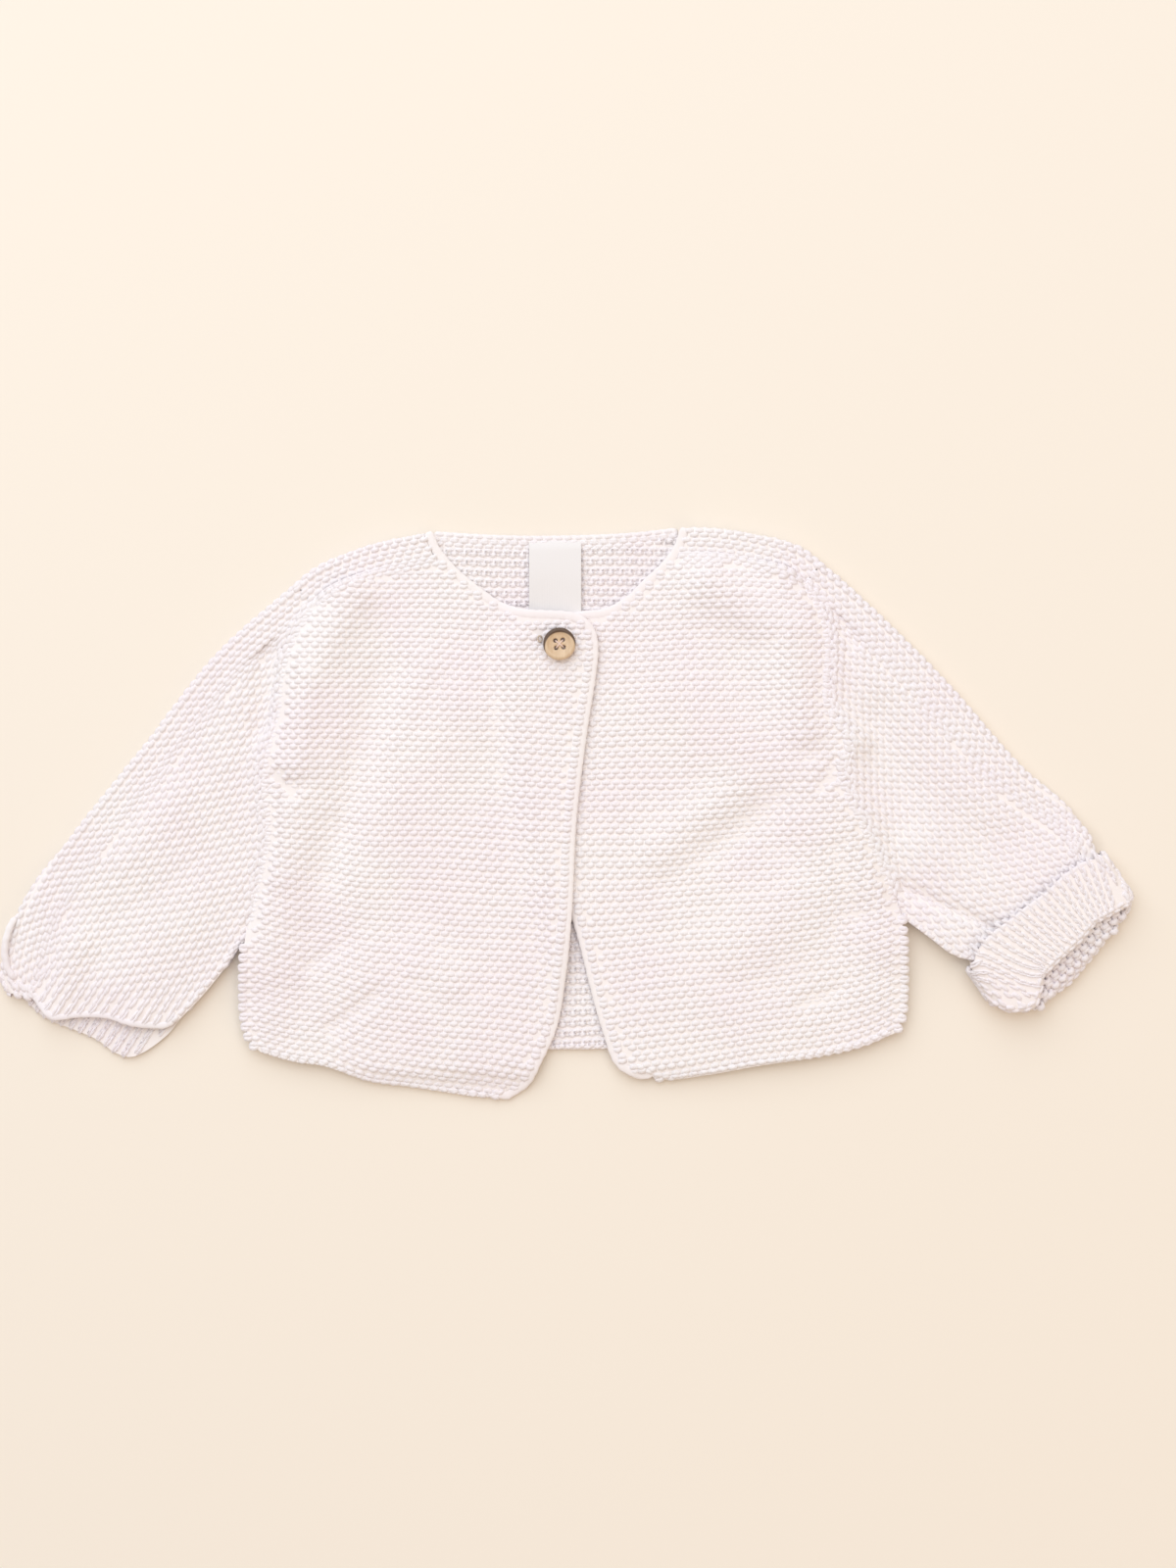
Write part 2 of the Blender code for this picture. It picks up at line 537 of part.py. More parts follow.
def sleeve(names, half, lower_points, mouth_front, mouth_back, table, rise):
    """A sleeve's back half, which wraps forward over the outer fold, and its front half."""
    lower = Line(lower_points)
    v = shares(half.sleeve_fold.length)
    if half.sign > 0:
        entry = [lower.nearest(in_cuff(*CUFF_ENTRY)), half.sleeve_fold.nearest(in_cuff(-4.0, 23.85))]
        v = np.union1d(v[np.abs(v[:, None] - entry).min(axis=1) > 0.02], entry)

    start = half.armhole.to(half.sleeve_centre.xy[0])
    end = Line([*mouth_back, tuple(half.sleeve_centre.xy[-1])])
    plan = patch(start, end, lower, half.sleeve_centre, shares(start.length, (True, False)), v)
    grid = raised(plan, layer(0) + rise(plan))
    flap = fold_over(half.sleeve_fold.at(v), half.sleeve_wrap.at(v), grid[:, -1])
    flap[1:, :, 2] += rise(flap[1:, :, :2])
    sheet(names[0], [grid, flap])

    end = Line([*mouth_front, tuple(half.sleeve_seam.xy[-1])])
    u = shares(half.armhole.length)
    plan = patch(half.armhole, end, lower, half.sleeve_seam, u, v)
    clear = smoothstep((beside(plan, half.armhole_fold, half.sign) - 2.0) / 18.0)
    clear = clear * smoothstep(u / 0.25) * smoothstep((1.0 - u) / 0.25) * (1.0 - rise(plan) / LAYER)
    sheet(names[1], [raised(plan, layer(1) + rise(plan) + folds(plan, table) * clear)])


# ---------------------------------------------------------------- cuff, button and label

def cuff_column(column, across):
    table = np.array(CUFF_TABLE)
    return np.interp(across, table[:, 0], table[:, column])


def cuff_mouth(column, last_across):
    """The line at which a half of the left sleeve ends, just before the cloth that the cuff turns in."""
    across = np.linspace(CUFF_REACH, last_across, 8)[:-1]
    along = cuff_column(column, across) - FOLD - CUFF_RETURN - CUFF_ROOM
    return [in_cuff(*place) for place in zip(along, across)]


def cuff():
    """The turned-up cuff: a flattened ring round the sleeve's end, turned in at the mouth."""
    low, high = CUFF_CENTRES
    straight = np.linspace(low, high, 8)
    turn = np.linspace(math.pi / 2, 3 * math.pi / 2, CUFF_STEPS + 1)[1:]
    middle = np.concatenate([straight[::-1], np.full(CUFF_STEPS, low), straight[1:],
                             np.full(CUFF_STEPS, high)])
    angle = np.concatenate([np.full(8, math.pi / 2), turn, np.full(7, 3 * math.pi / 2), turn + math.pi])
    outer, inner = 1.5 * LAYER, 0.5 * LAYER
    # share of the way to the mouth, distance from the ring's middle, further along
    profile = [(0.0, outer, 0.0), (0.0, outer, 1.2), (0.34, outer, 0.0), (0.67, outer, 0.0), (1.0, outer, 0.0)]
    for turned in np.linspace(math.pi / 2, -math.pi / 2, FOLD_STEPS + 1)[1:]:
        profile.append((1.0, LAYER + FOLD_LINE * math.sin(turned), FOLD_LINE * math.cos(turned)))
    profile.append((1.0, inner, -CUFF_RETURN))
    forward = (1 + np.sin(angle)) / 2
    grid = []
    for share, radius, further in profile:
        across = middle + radius * np.cos(angle)
        edge = cuff_column(1, across)
        mouth = forward * cuff_column(2, across) + (1 - forward) * cuff_column(3, across) - FOLD
        along = edge + share * (mouth - edge) + further
        plan = CUFF_ORIGIN + np.outer(along, CUFF_ALONG) + np.outer(across, CUFF_ACROSS)
        grid.append(raised(plan, layer(0) + outer + radius * np.sin(angle)))
    sheet("cuff_left", [np.array(grid)])


def ring(centre, radius, count):
    return [Vector((centre[0] + radius * math.cos(math.tau * k / count),
                    centre[1] + radius * math.sin(math.tau * k / count))) for k in range(count)]


def button():
    """A dished round button with four through holes."""
    loops = [ring((0.0, 0.0), radius, 24) for radius, top, under in BUTTON_PROFILE[1:]]
    loops += [ring(hole, BUTTON_HOLE_RADIUS, 10) for hole in BUTTON_HOLES]
    points, edges = [], []
    for loop in loops:
        first = len(points)
        points += loop
        edges += [(first + k, first + (k + 1) % len(loop)) for k in range(len(loop))]
    points, edges, faces = geometry.delaunay_2d_cdt(points, edges, [], 0, 1e-6)[:3]
    kept = []
    for face in faces:
        middle = sum((points[i] for i in face), Vector((0.0, 0.0))) / len(face)
        if all((middle - Vector(hole)).length > BUTTON_HOLE_RADIUS * 0.96 for hole in BUTTON_HOLES):
            kept.append(face)
    radii, tops, unders = zip(*BUTTON_PROFILE)
    base = layer(2) + WALL / 2 + GAP
    shape = bmesh.new()
    sides = []
    for heights in (tops, unders):
        sides.append([shape.verts.new(metres((
            BUTTON_CENTRE[0] + point.x, BUTTON_CENTRE[1] + point.y,
            base + np.interp(point.length, radii, heights)))) for point in points])
    above, below = sides
    for face in kept:
        shape.faces.new([above[i] for i in face])
        shape.faces.new([below[i] for i in reversed(face)])
    rims = [edge for edge in shape.edges if edge.is_boundary and edge.verts[0] in set(above)]
    beneath = dict(zip(above, below))
    for edge in rims:
        one, two = edge.verts
        shape.faces.new((two, one, beneath[one], beneath[two]))
    add_object("button", shape, "wood")


def label():
    """The woven label that lies on the back's inside, a little bowed."""
    corners = [np.array(corner) for corner in LABEL_CORNERS]
    across, down = np.linspace(0.0, 1.0, 5), np.linspace(0.0, 1.0, 8)
    top = (1 - across)[:, None] * corners[0] + across[:, None] * corners[1]
    bottom = (1 - across)[:, None] * corners[3] + across[:, None] * corners[2]
    plan = (1 - down)[:, None, None] * top + down[:, None, None] * bottom
    height = WALL + GAP + LABEL_WALL / 2 + 0.7 * np.sin(math.pi * down[:, None]) ** 2 * np.ones(5)
    sheet("label", [raised(plan, height)], "label", LABEL_WALL)


# ---------------------------------------------------------------- the whole cardigan

def cardigan():
    right = Half(-1, RIGHT_SIDE, RIGHT_HEM, RIGHT_ARMHOLE, RIGHT_ARMHOLE_FOLD, RIGHT_SLEEVE_OUTER,
                 RIGHT_SHOULDER_FOLD, RIGHT_EDGE, RIGHT_TOP_CORNER, RIGHT_SEAM_DRIFT, RIGHT_SEAM_SWEEP)
    left = Half(1, LEFT_SIDE, LEFT_HEM, LEFT_ARMHOLE, LEFT_ARMHOLE_FOLD, LEFT_SLEEVE_OUTER,
                LEFT_SHOULDER_FOLD, LEFT_EDGE, LEFT_TOP_CORNER, LEFT_SEAM_DRIFT, LEFT_SEAM_SWEEP)
    back(right, left)
    edging("edging_right", right, front("front_right", right, left))
    edging("edging_left", left, front("front_left", left, right))
    sleeve(("sleeve_right_back", "sleeve_right_front"), right, RIGHT_SLEEVE_LOWER, RIGHT_MOUTH_FRONT,
           RIGHT_MOUTH_BACK, RIGHT_SLEEVE_FOLDS, no_rise)
    sleeve(("sleeve_left_back", "sleeve_left_front"), left, LEFT_SLEEVE_LOWER, cuff_mouth(2, 18.0),
           cuff_mouth(3, 21.3), LEFT_SLEEVE_FOLDS, cuff_rise)
    cuff()
    button()
    label()


for leftover in list(bpy.data.objects):
    bpy.data.objects.remove(leftover)
cardigan()
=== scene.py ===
# %% [markdown]
# # A baby cardigan in garter stitch
#
# This lesson dresses a small knitted cardigan that lies flat with its front up. A fixed model of it
# comes first: one body, whose nodes have the right sizes and places. Every cloth node then gets a thin
# shell of its own form, and the shell gets its stitches as real loops of yarn. About six thousand
# stitches look up, of two loops each, so a loop has only two dozen faces and Geometry Nodes place it.

# %% The fixed frame
import math

import bmesh
import bpy
import numpy as np
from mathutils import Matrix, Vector, geometry


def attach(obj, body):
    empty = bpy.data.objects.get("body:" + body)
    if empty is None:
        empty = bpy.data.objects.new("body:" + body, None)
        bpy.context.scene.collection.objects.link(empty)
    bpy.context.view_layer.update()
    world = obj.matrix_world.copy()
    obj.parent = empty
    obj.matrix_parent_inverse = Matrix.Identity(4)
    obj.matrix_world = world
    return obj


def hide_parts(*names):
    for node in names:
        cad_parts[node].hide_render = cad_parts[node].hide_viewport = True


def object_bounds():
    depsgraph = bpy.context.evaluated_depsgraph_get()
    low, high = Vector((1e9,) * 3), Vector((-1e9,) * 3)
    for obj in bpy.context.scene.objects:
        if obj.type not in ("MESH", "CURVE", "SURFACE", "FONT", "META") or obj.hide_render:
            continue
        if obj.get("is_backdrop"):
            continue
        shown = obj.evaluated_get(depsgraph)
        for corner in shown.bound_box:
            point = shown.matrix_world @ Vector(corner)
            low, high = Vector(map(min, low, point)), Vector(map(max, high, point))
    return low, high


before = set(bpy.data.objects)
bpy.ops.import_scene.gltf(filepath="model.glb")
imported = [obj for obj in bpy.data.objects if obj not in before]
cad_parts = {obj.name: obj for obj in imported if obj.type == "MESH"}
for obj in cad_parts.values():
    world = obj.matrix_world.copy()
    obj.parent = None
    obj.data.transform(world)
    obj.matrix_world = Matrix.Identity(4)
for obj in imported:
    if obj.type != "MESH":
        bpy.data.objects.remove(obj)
cad_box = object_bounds()
print("nodes in the frame:", ", ".join(sorted(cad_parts)))

# %% [markdown]
# ## Sizes
#
# Lengths here are in millimetres, because that is how a knitter measures, and they become metres when a
# mesh is made. +X is the wearer's left, +Y is towards the neck and +Z is up. The cloth is 2.4 mm thick
# and lies in layers that are 0.3 mm apart. One stitch is 3.65 mm wide, and a garter ridge, which takes
# two rows of knitting, is as high.

# %% Driving sizes
MM = 0.001
WALL = 2.4                      # thickness of the knitted cloth
GAP = 0.3                       # between layers, and between pieces that are sewn together
LAYER = WALL + GAP
FOLD = WALL + GAP / 2           # outer radius of a flat fold
FOLD_LINE = LAYER / 2           # radius of such a fold at the middle of the cloth
WRAP = 10.5                     # how far the back comes forward over a fold, up to the seam
DRIFT_SHARE = 0.3               # share of the line from wrist to neck in which the seam drifts off
SWEEP_SHARE = 0.09              # and share of it that the rolled corner of the wrist carries along
EDGING = 3.0                    # width of the edging
FLAP_MARGIN = 0.7               # more room for the edging over the top of the shoulder
PARTING = 0.5                   # between body and sleeve under the armhole fold
CENTRE = (-0.11, -0.75)         # plan point that is the origin

STITCH = 3.65                   # width of a stitch along its row
RIDGE = 3.65                    # height of a garter ridge
YARN = 1.0                      # radius of the yarn
HEAD_RISE = 0.62                # height of a loop over the middle of the cloth
UNDER_RISE = 0.25               # the same on the side that lies on the floor
HIDDEN_LOOP = {"sides": 4, "steps": 3}      # a simpler loop for that side
CORE = 1.5                      # thickness of the shell that backs the loops
CELL = 4.4                      # distance between the grid lines of a shell
print(f"{100 / (STITCH * RIDGE):.1f} stitches in a square centimetre")

# %% The frame of the turned-up cuff
# Its origin lies on the turned edge, "along" runs down the sleeve and "across" towards the outer fold.
CUFF_ORIGIN = np.array((178.2, -30.8))
CUFF_ALONG = np.array((0.56, -0.828))
CUFF_ACROSS = np.array((0.828, 0.56))
CUFF_CENTRES = (-35.75, 21.3)           # across: centres of its two round ends
CUFF_RETURN = 1.6                       # how far its cloth turns back into the sleeve
CUFF_ROOM = 1.5                         # between that cloth and the end of the sleeve
CUFF_RAMP = (-30, -3)                   # along: where the sleeve rises on to the cuff's lower layer
CUFF_REACH = -36.2                      # across: the sleeve's lower edge inside the cuff
# across, along at: the turned edge, the front's fold at the mouth, the back's fold at the mouth
CUFF_TABLE = np.array([
    (-41, 10, 17, 18), (-39, 7.6, 24, 24.5), (-35.8, 3.4, 28.6, 28.9), (-31, 1.2, 31.6, 32.4),
    (-27, 0.2, 32.2, 33.8), (-22.5, -0.2, 28.4, 33.6), (-19, -0.1, 24.6, 33.5), (-11.5, -0.8, 23.2, 33.2),
    (0, -1.2, 21.6, 30.2), (8, -2.7, 19.2, 27.6), (16, -2.9, 20, 25), (23, -1, 20.5, 22.6),
    (27, 0, 17, 18.5)])
TURNED_EDGE, FRONT_MOUTH, BACK_MOUTH = 1, 2, 3


def in_cuff(along, across):
    """Plan point from the cuff's own frame."""
    return tuple(CUFF_ORIGIN + along * CUFF_ALONG + across * CUFF_ACROSS)


def cuff_column(column, across):
    return np.interp(across, CUFF_TABLE[:, 0], CUFF_TABLE[:, column])


def cuff_mouth(column, last_across):
    """The line at which a half of the left sleeve ends, just before the cloth that the cuff turns in."""
    across = np.linspace(CUFF_REACH, last_across, 8)[:-1]
    along = cuff_column(column, across) - FOLD - CUFF_RETURN - CUFF_ROOM
    return [in_cuff(*place) for place in zip(along, across)]


# %% [markdown]
# ## Outlines
#
# The outlines follow the edges of the garment as it lies. They have a point only where the edge turns,
# and a smooth curve runs through the points. Each half has these lines: "side" is the body's fold below
# the underarm. "armhole" is where the body ends, hidden under "armhole_fold", where a front laps over
# its sleeve. "edge" is the outer line of the front's edging, from the hem up the centre and round the
# neck, and turns at "top_corner". A sleeve has its outer fold, its lower edge and the two lines at which
# its front and its back end at the wrist. "seam_drift" is how far the overarm seam leaves the sleeve's
# fold towards the wrist, as a share of WRAP, and "seam_sweep" how far the wrist's corner carries it.

# %% Outlines in plan: x, y
RIGHT_UNDERARM, LEFT_UNDERARM = (-119.2, -47.1), (123.9, -39.1)
RIGHT_NECK, LEFT_NECK = (-50, 104.3), (42, 105.7)
RIGHT_WRIST = (-144.6, -78)
BACK_HEM = [(-113.8, -86.8), (-65, -88.3), (15.8, -88.5), (66.1, -87), (121.8, -80.6)]
BACK_NECK = [RIGHT_NECK, (-37.7, 103.4), (-23.8, 102.8), (5.3, 102.8), (26, 103.9), LEFT_NECK]
RIGHT = {
    "sign": -1,
    "side": [(-113.8, -89.4), (-117.6, -84.6), (-119.6, -77.3), (-119.8, -62.8), RIGHT_UNDERARM],
    "hem": [(-113.8, -89.4), (-101.4, -93), (-90.8, -94.5), (-72.6, -100.6), (-59.9, -102.3),
            (-45.3, -104.6), (-32, -106.4), (-26.5, -106.2)],
    "armhole": [RIGHT_UNDERARM, (-109, -24), (-104.5, 0), (-102, 22), (-99, 45), (-95, 65)],
    "armhole_fold": [RIGHT_UNDERARM, (-116.7, -35.5), (-113.8, -21.3), (-111.6, -9), (-113, 10),
                     (-111.9, 21.7), (-108.3, 31.8), (-106.8, 44.6), (-104.6, 58.1), (-99.9, 68.2)],
    "shoulder_fold": [(-96.3, 89), (-75.9, 98.5), RIGHT_NECK],
    "top_corner": (7.1, 71.5),
    "edge": [(-21, -107.2), (-14, -102.1), (-9.3, -93.4), (-4.5, -83.2), (-0.2, -60.6), (2, -38), (3.5, -6.4),
             (7.5, 28.6), (11.1, 51.9), (11.8, 59.1), (10.6, 66.8), (7.1, 71.5), (1.6, 73.7), (-6.7, 74.4),
             (-15.1, 74.9), (-23.5, 77.3), (-31.8, 82.8), (-42, 91.5), (-47.5, 98.6), RIGHT_NECK],
    "sleeve_outer": [(-101.4, 84.6), (-129.8, 59.5), (-156.7, 25.7), (-183.6, -7.8), (-197.1, -25.3),
                     (-204.6, -38), (-208.8, -48), (-210.6, -57), (-210.4, -62.5), (-208, -67.2)],
    "sleeve_lower": [RIGHT_UNDERARM, (-126.1, -57), (-138.1, -71.5), RIGHT_WRIST],
    "mouth_front": [RIGHT_WRIST, (-149, -80.3), (-154.9, -80.3), (-162.1, -79.3), (-170.3, -76.8),
                    (-181.5, -76.4), (-191, -77)],
    "mouth_back": [RIGHT_WRIST, (-147.5, -82), (-152.3, -86.3), (-158.2, -90.2), (-162.1, -91.7),
                   (-167.9, -90.2), (-174.6, -85.4), (-183.4, -81.5), (-193.5, -77.5)],
    "seam_drift": 0.5,
    "seam_sweep": (-4.5, -9.5),
}
LEFT = {
    "sign": 1,
    "side": [(121.8, -82.4), (124.3, -76.3), (124.9, -66.4), (124.7, -53), LEFT_UNDERARM],
    "hem": [(121.8, -82.4), (111.2, -86.8), (92.6, -91.2), (69.7, -94.8), (51.1, -98.1), (34, -99.3)],
    "armhole": [LEFT_UNDERARM, (111.5, -24), (101.5, -9), (95.5, 6), (93, 24), (89.5, 45), (87, 66)],
    "armhole_fold": [LEFT_UNDERARM, (119.6, -26), (111.2, -6.4), (103.6, 10), (102.5, 18), (105.2, 26),
                     (101.7, 32.6), (97, 41.5), (97.4, 50), (97.4, 64.6), (93.7, 76.3)],
    "shoulder_fold": [(87.9, 98.1), (70.4, 103.2), (51.5, 105.7), LEFT_NECK],
    "top_corner": (-9.6, 67.6),
    "edge": [(25, -99.2), (19.5, -96), (12.9, -81), (8.2, -64.2), (4.5, -49.3), (-0.2, -33.7), (-6, -8.2),
             (-10.7, 20.9), (-13.7, 46.4), (-12.9, 60), (-9.6, 67.6), (-2.4, 71.9), (6.4, 74.4), (13.3, 75.2),
             (21.3, 79.2), (28.6, 86.1), (35.5, 92.6), (40.2, 99.6), LEFT_NECK],
    "sleeve_outer": [(95.2, 92.3), (114.1, 75.5), (141.8, 47.9), (170.5, 15.5), in_cuff(-16.5, 25.6),
                     in_cuff(-8.5, 25.4), in_cuff(-4, 23.85), in_cuff(3, 23.85), in_cuff(12, 23.85)],
    "sleeve_lower": [LEFT_UNDERARM, (135, -47.3), in_cuff(-2.5, -42.3), in_cuff(1.5, -39.8),
                     in_cuff(5.5, CUFF_REACH), in_cuff(13, CUFF_REACH), in_cuff(21.5, CUFF_REACH)],
    "mouth_front": cuff_mouth(FRONT_MOUTH, 18),
    "mouth_back": cuff_mouth(BACK_MOUTH, 21.3),
    "seam_drift": -0.5,
    "seam_sweep": (0, 0),
}

# %% [markdown]
# ## Soft folds
#
# Knitted cotton is springy, so it never lies quite flat. Broad ridges run along both armholes and aslant
# over the fronts. Each is a straight run in plan with a width and a height, and where two meet the
# higher one counts. Creases are narrower runs with a negative height. A joint says how the cloth runs
# over an armhole fold, by its level on the fold line and the lengths over which the front and the
# sleeve reach that level.

# %% Folds and creases: from x, from y, to x, to y, width, height
RIGHT |= {
    "folds": [(-80, 80, -95, 50, 9, 4), (-95, 50, -100, 18, 9, 4.4), (-101, 4, -105, -24, 9, 3),
              (-111, -36, -110, -74, 9, 1.2), (-42, 36, -82, -22, 17, 1.5), (-74, -62, -40, -80, 16, 1.2),
              (-56, -58, -45, -65, 10, 1.6), (-52, 52, -74, -12, 10, 1.2)],
    "creases": [(-108.2, 14, -102, 6.4, 2.4, -1.6), (-9.7, 64, -8.6, 63.8, 0.9, -1.4),
                (-66, 50, -87, -14, 8, -1), (-85, -6, -90, -23, 8, -1.6), (-88, -81, -71, -68.5, 3.4, -1),
                (-96, -58, -84, -50, 3.6, -0.8)],
    "sleeve_folds": [(-126, 34, -160, -12, 17, 1.6), (-136, -34, -166, -66, 13, 1.2),
                     (-184, -50, -196, -78, 9, 2.2), (-160, -74, -164, -84, 7, 1.4)],
    "sleeve_creases": [(-110.8, 58, -113.5, 31, 5.5, -1.8), (-124, 33, -135, 15, 6, -0.9)],
}
LEFT |= {
    "folds": [(54, 84, 82, 66, 10, 4), (82, 66, 88, 30, 9, 4.4), (93, 14, 110, -28, 9, 3),
              (112, -40, 113, -66, 10, 1.2), (42, 40, 76, 16, 16, 1.6), (104, -22, 62, -52, 13, 1.8),
              (40, -66, 78, -78, 15, 1.1), (70, 13, 34, -16, 9, 1.5)],
    "creases": [(99, 16, 94, 9, 2.6, -1.2), (78, 4, 52, -14.5, 7.5, -1.5), (52, -14.5, 36, -26, 6, -0.7),
                (101, -14, 109, -38, 4.5, -0.9), (88, -72, 101, -66, 3.5, -0.8)],
    "sleeve_folds": [(126, 50, 160, 8, 15, 1.4), (128, -14, 158, -36, 15, 1.5)],
    "sleeve_creases": [(124.3, -28.2, 141, -35.9, 2.6, -1.5), (141, -35.9, 158.2, -43.5, 2.4, -1.5),
                       (100, 74, 106, 62, 3, -1), (116, 34, 126, -4, 8, -1.6)],
}
# y, level of the cloth's middle on the fold line, length on the front, length on the sleeve
RIGHT["joint"] = [(-47, 3.2, 5, 3), (-30, 4, 6, 4), (-10, 5.2, 7, 9), (6, 5.4, 7, 9), (20, 5.2, 6, 9),
                  (32, 4.4, 5, 3), (50, 4.2, 5, 3), (66, 4.6, 6, 5)]
LEFT["joint"] = [(-39, 3.4, 5, 3), (-20, 4.9, 6, 7), (0, 6.6, 6, 12), (28, 6.9, 6, 11), (45, 6.4, 7, 9),
                 (62, 5.4, 7, 7), (78, 4.5, 6, 5)]
JOINT_START = (-3.0, 8.0)       # above the underarm: where the joint begins and the length it takes
LAP_MARGIN = 7.0                # a front is fully raised this far before it laps over its sleeve
LAP_RAMP = 22.0                 # and rises over this length
LAP_START = 30.0                # it starts to rise this far below the underarm
LAP_FULL = 8.0                  # and has its full height this far below it
CENTRE_MARGIN = 4.0             # the same two lengths where the right front lies over the left front
CENTRE_RAMP = 14.0
COVERED_MARGIN = 2.0            # the left front has no folds up to this far past the right one's edge
COVERED_RAMP = 12.0             # and all of their height this much further out
HEM_MARGIN = 6.0                # a front sinks to the floor from this far past the hem of the back
HEM_RAMP = 9.0

# %% [markdown]
# ## Lines and panels
#
# A panel is a patch between four lines in plan. Its height is a function of the plan point, so the shell
# and the loops of yarn on it can be worked out at different places and still lie on one surface.

# %% Lines


class Line:
    """A line in plan, read by its share of the length from 0 to 1."""

    def __init__(self, points, smooth=True, share=None):
        points = np.array(points, float)
        self.xy = hermite(points) if smooth else points
        steps = np.hypot(*np.diff(self.xy, axis=0).T)
        self.length = steps.sum()
        self.share = np.concatenate([[0.0], np.cumsum(steps)]) / self.length if share is None else share

    def at(self, share):
        return np.stack([np.interp(share, self.share, self.xy[:, axis]) for axis in (0, 1)], axis=-1)

    def ahead(self, share, reach):
        """The direction of the line, taken over a share of it to either side."""
        return unit(self.at(share + reach) - self.at(share - reach))

    def shifted(self, distance):
        """The line moved to its own left by a distance, or one for each point, with the shares kept."""
        aside = left_of(unit(np.gradient(self.xy, axis=0)))
        return Line(self.xy + np.reshape(distance, (-1, 1)) * aside, False, self.share)

    def back(self):
        return Line(self.xy[::-1], smooth=False)

    def then(self, other):
        return Line(np.concatenate([self.xy, other.xy]), smooth=False)

    def to(self, point):
        return Line(np.concatenate([self.xy, [point]]), smooth=False)

    def nearest(self, point, tries=1200):
        """The share at which the line comes closest to a point."""
        share = np.linspace(0.0, 1.0, tries)
        return share[np.argmin(np.hypot(*(self.at(share) - point).T))]

    def part(self, start, end, points=160):
        return Line(self.at(np.linspace(start, end, points)), smooth=False)


def hermite(points, steps=8):
    """A smooth curve through points, with slopes from each point's neighbours."""
    knots = np.concatenate([[0.0], np.cumsum(np.hypot(*np.diff(points, axis=0).T))])
    slopes = np.gradient(points, knots, axis=0)
    out = []
    for i in range(len(points) - 1):
        span = knots[i + 1] - knots[i]
        t = np.linspace(0, 1, steps, endpoint=False)[:, None]
        out.append((2 * t**3 - 3 * t**2 + 1) * points[i] + (3 * t**2 - 2 * t**3) * points[i + 1]
                   + span * ((t**3 - 2 * t**2 + t) * slopes[i] + (t**3 - t**2) * slopes[i + 1]))
    return np.concatenate(out + [points[-1:]])


def crossing(line, other, tries=900):
    """The share of a line at which it comes closest to another, and that line's share."""
    share = np.linspace(0.0, 1.0, tries)
    apart = np.linalg.norm(line.at(share)[:, None] - other.at(share)[None], axis=-1)
    return share[list(np.unravel_index(apart.argmin(), apart.shape))]


def unit(vectors):
    return vectors / np.maximum(np.linalg.norm(vectors, axis=-1, keepdims=True), 1e-9)


def left_of(ahead):
    return np.stack([-ahead[..., 1], ahead[..., 0]], axis=-1)


def smoothstep(share):
    share = np.clip(share, 0.0, 1.0)
    return share * share * (3.0 - 2.0 * share)


def shares(length, cell=CELL):
    return np.linspace(0.0, 1.0, max(2, round(length / cell)) + 1)


def patch(low, high, first, last, u, v):
    """Plan points of a four-sided panel: low and high run with u, first and last run with v."""
    u_at, v_at = u[None, :, None], v[:, None, None]
    across = (1 - v_at) * low.at(u)[None] + v_at * high.at(u)[None]
    along = (1 - u_at) * first.at(v)[:, None] + u_at * last.at(v)[:, None]
    corners = ((1 - u_at) * (1 - v_at) * low.at(0.0) + u_at * (1 - v_at) * low.at(1.0)
               + (1 - u_at) * v_at * high.at(0.0) + u_at * v_at * high.at(1.0))
    return across + along - corners


def raised(plan, height):
    """Plan points with their height, which is a number or one for each point."""
    return np.concatenate([plan, np.broadcast_to(height, plan.shape[:-1])[..., None]], axis=-1)


def layer(number):
    """Height of the middle of a layer of cloth, counted from the floor."""
    return number * LAYER + WALL / 2


def folds(plan, table):
    """Height that the folds or creases of a table add at each plan point."""
    height = np.zeros(plan.shape[:-1])
    for from_x, from_y, to_x, to_y, width, top in table:
        start, run = np.array((from_x, from_y)), np.array((to_x - from_x, to_y - from_y))
        share = np.clip((plan - start) @ run / (run @ run), 0.0, 1.0)
        off = np.linalg.norm(plan - start - share[..., None] * run, axis=-1)
        bump = top * np.exp(-((off / width) ** 2))
        height = np.maximum(height, bump) if top > 0 else np.minimum(height, bump)
    return height


def beside(plan, line, side):
    """How far each plan point lies past a line that runs up the garment, towards side -1 or +1."""
    order = np.argsort(line.xy[:, 1])
    return side * (plan[..., 0] - np.interp(plan[..., 1], line.xy[order, 1], line.xy[order, 0]))


def far_from(plan, line, distance, tries=220):
    """0 on a line, rising to 1 at a distance from it."""
    points = line.at(np.linspace(0.0, 1.0, tries))
    near = np.array([np.hypot(*(points - point).T).min() for point in plan.reshape(-1, 2)])
    return smoothstep(near.reshape(plan.shape[:-1]) / distance)


def outline_of(*lines):
    return np.concatenate([line.xy for line in lines])


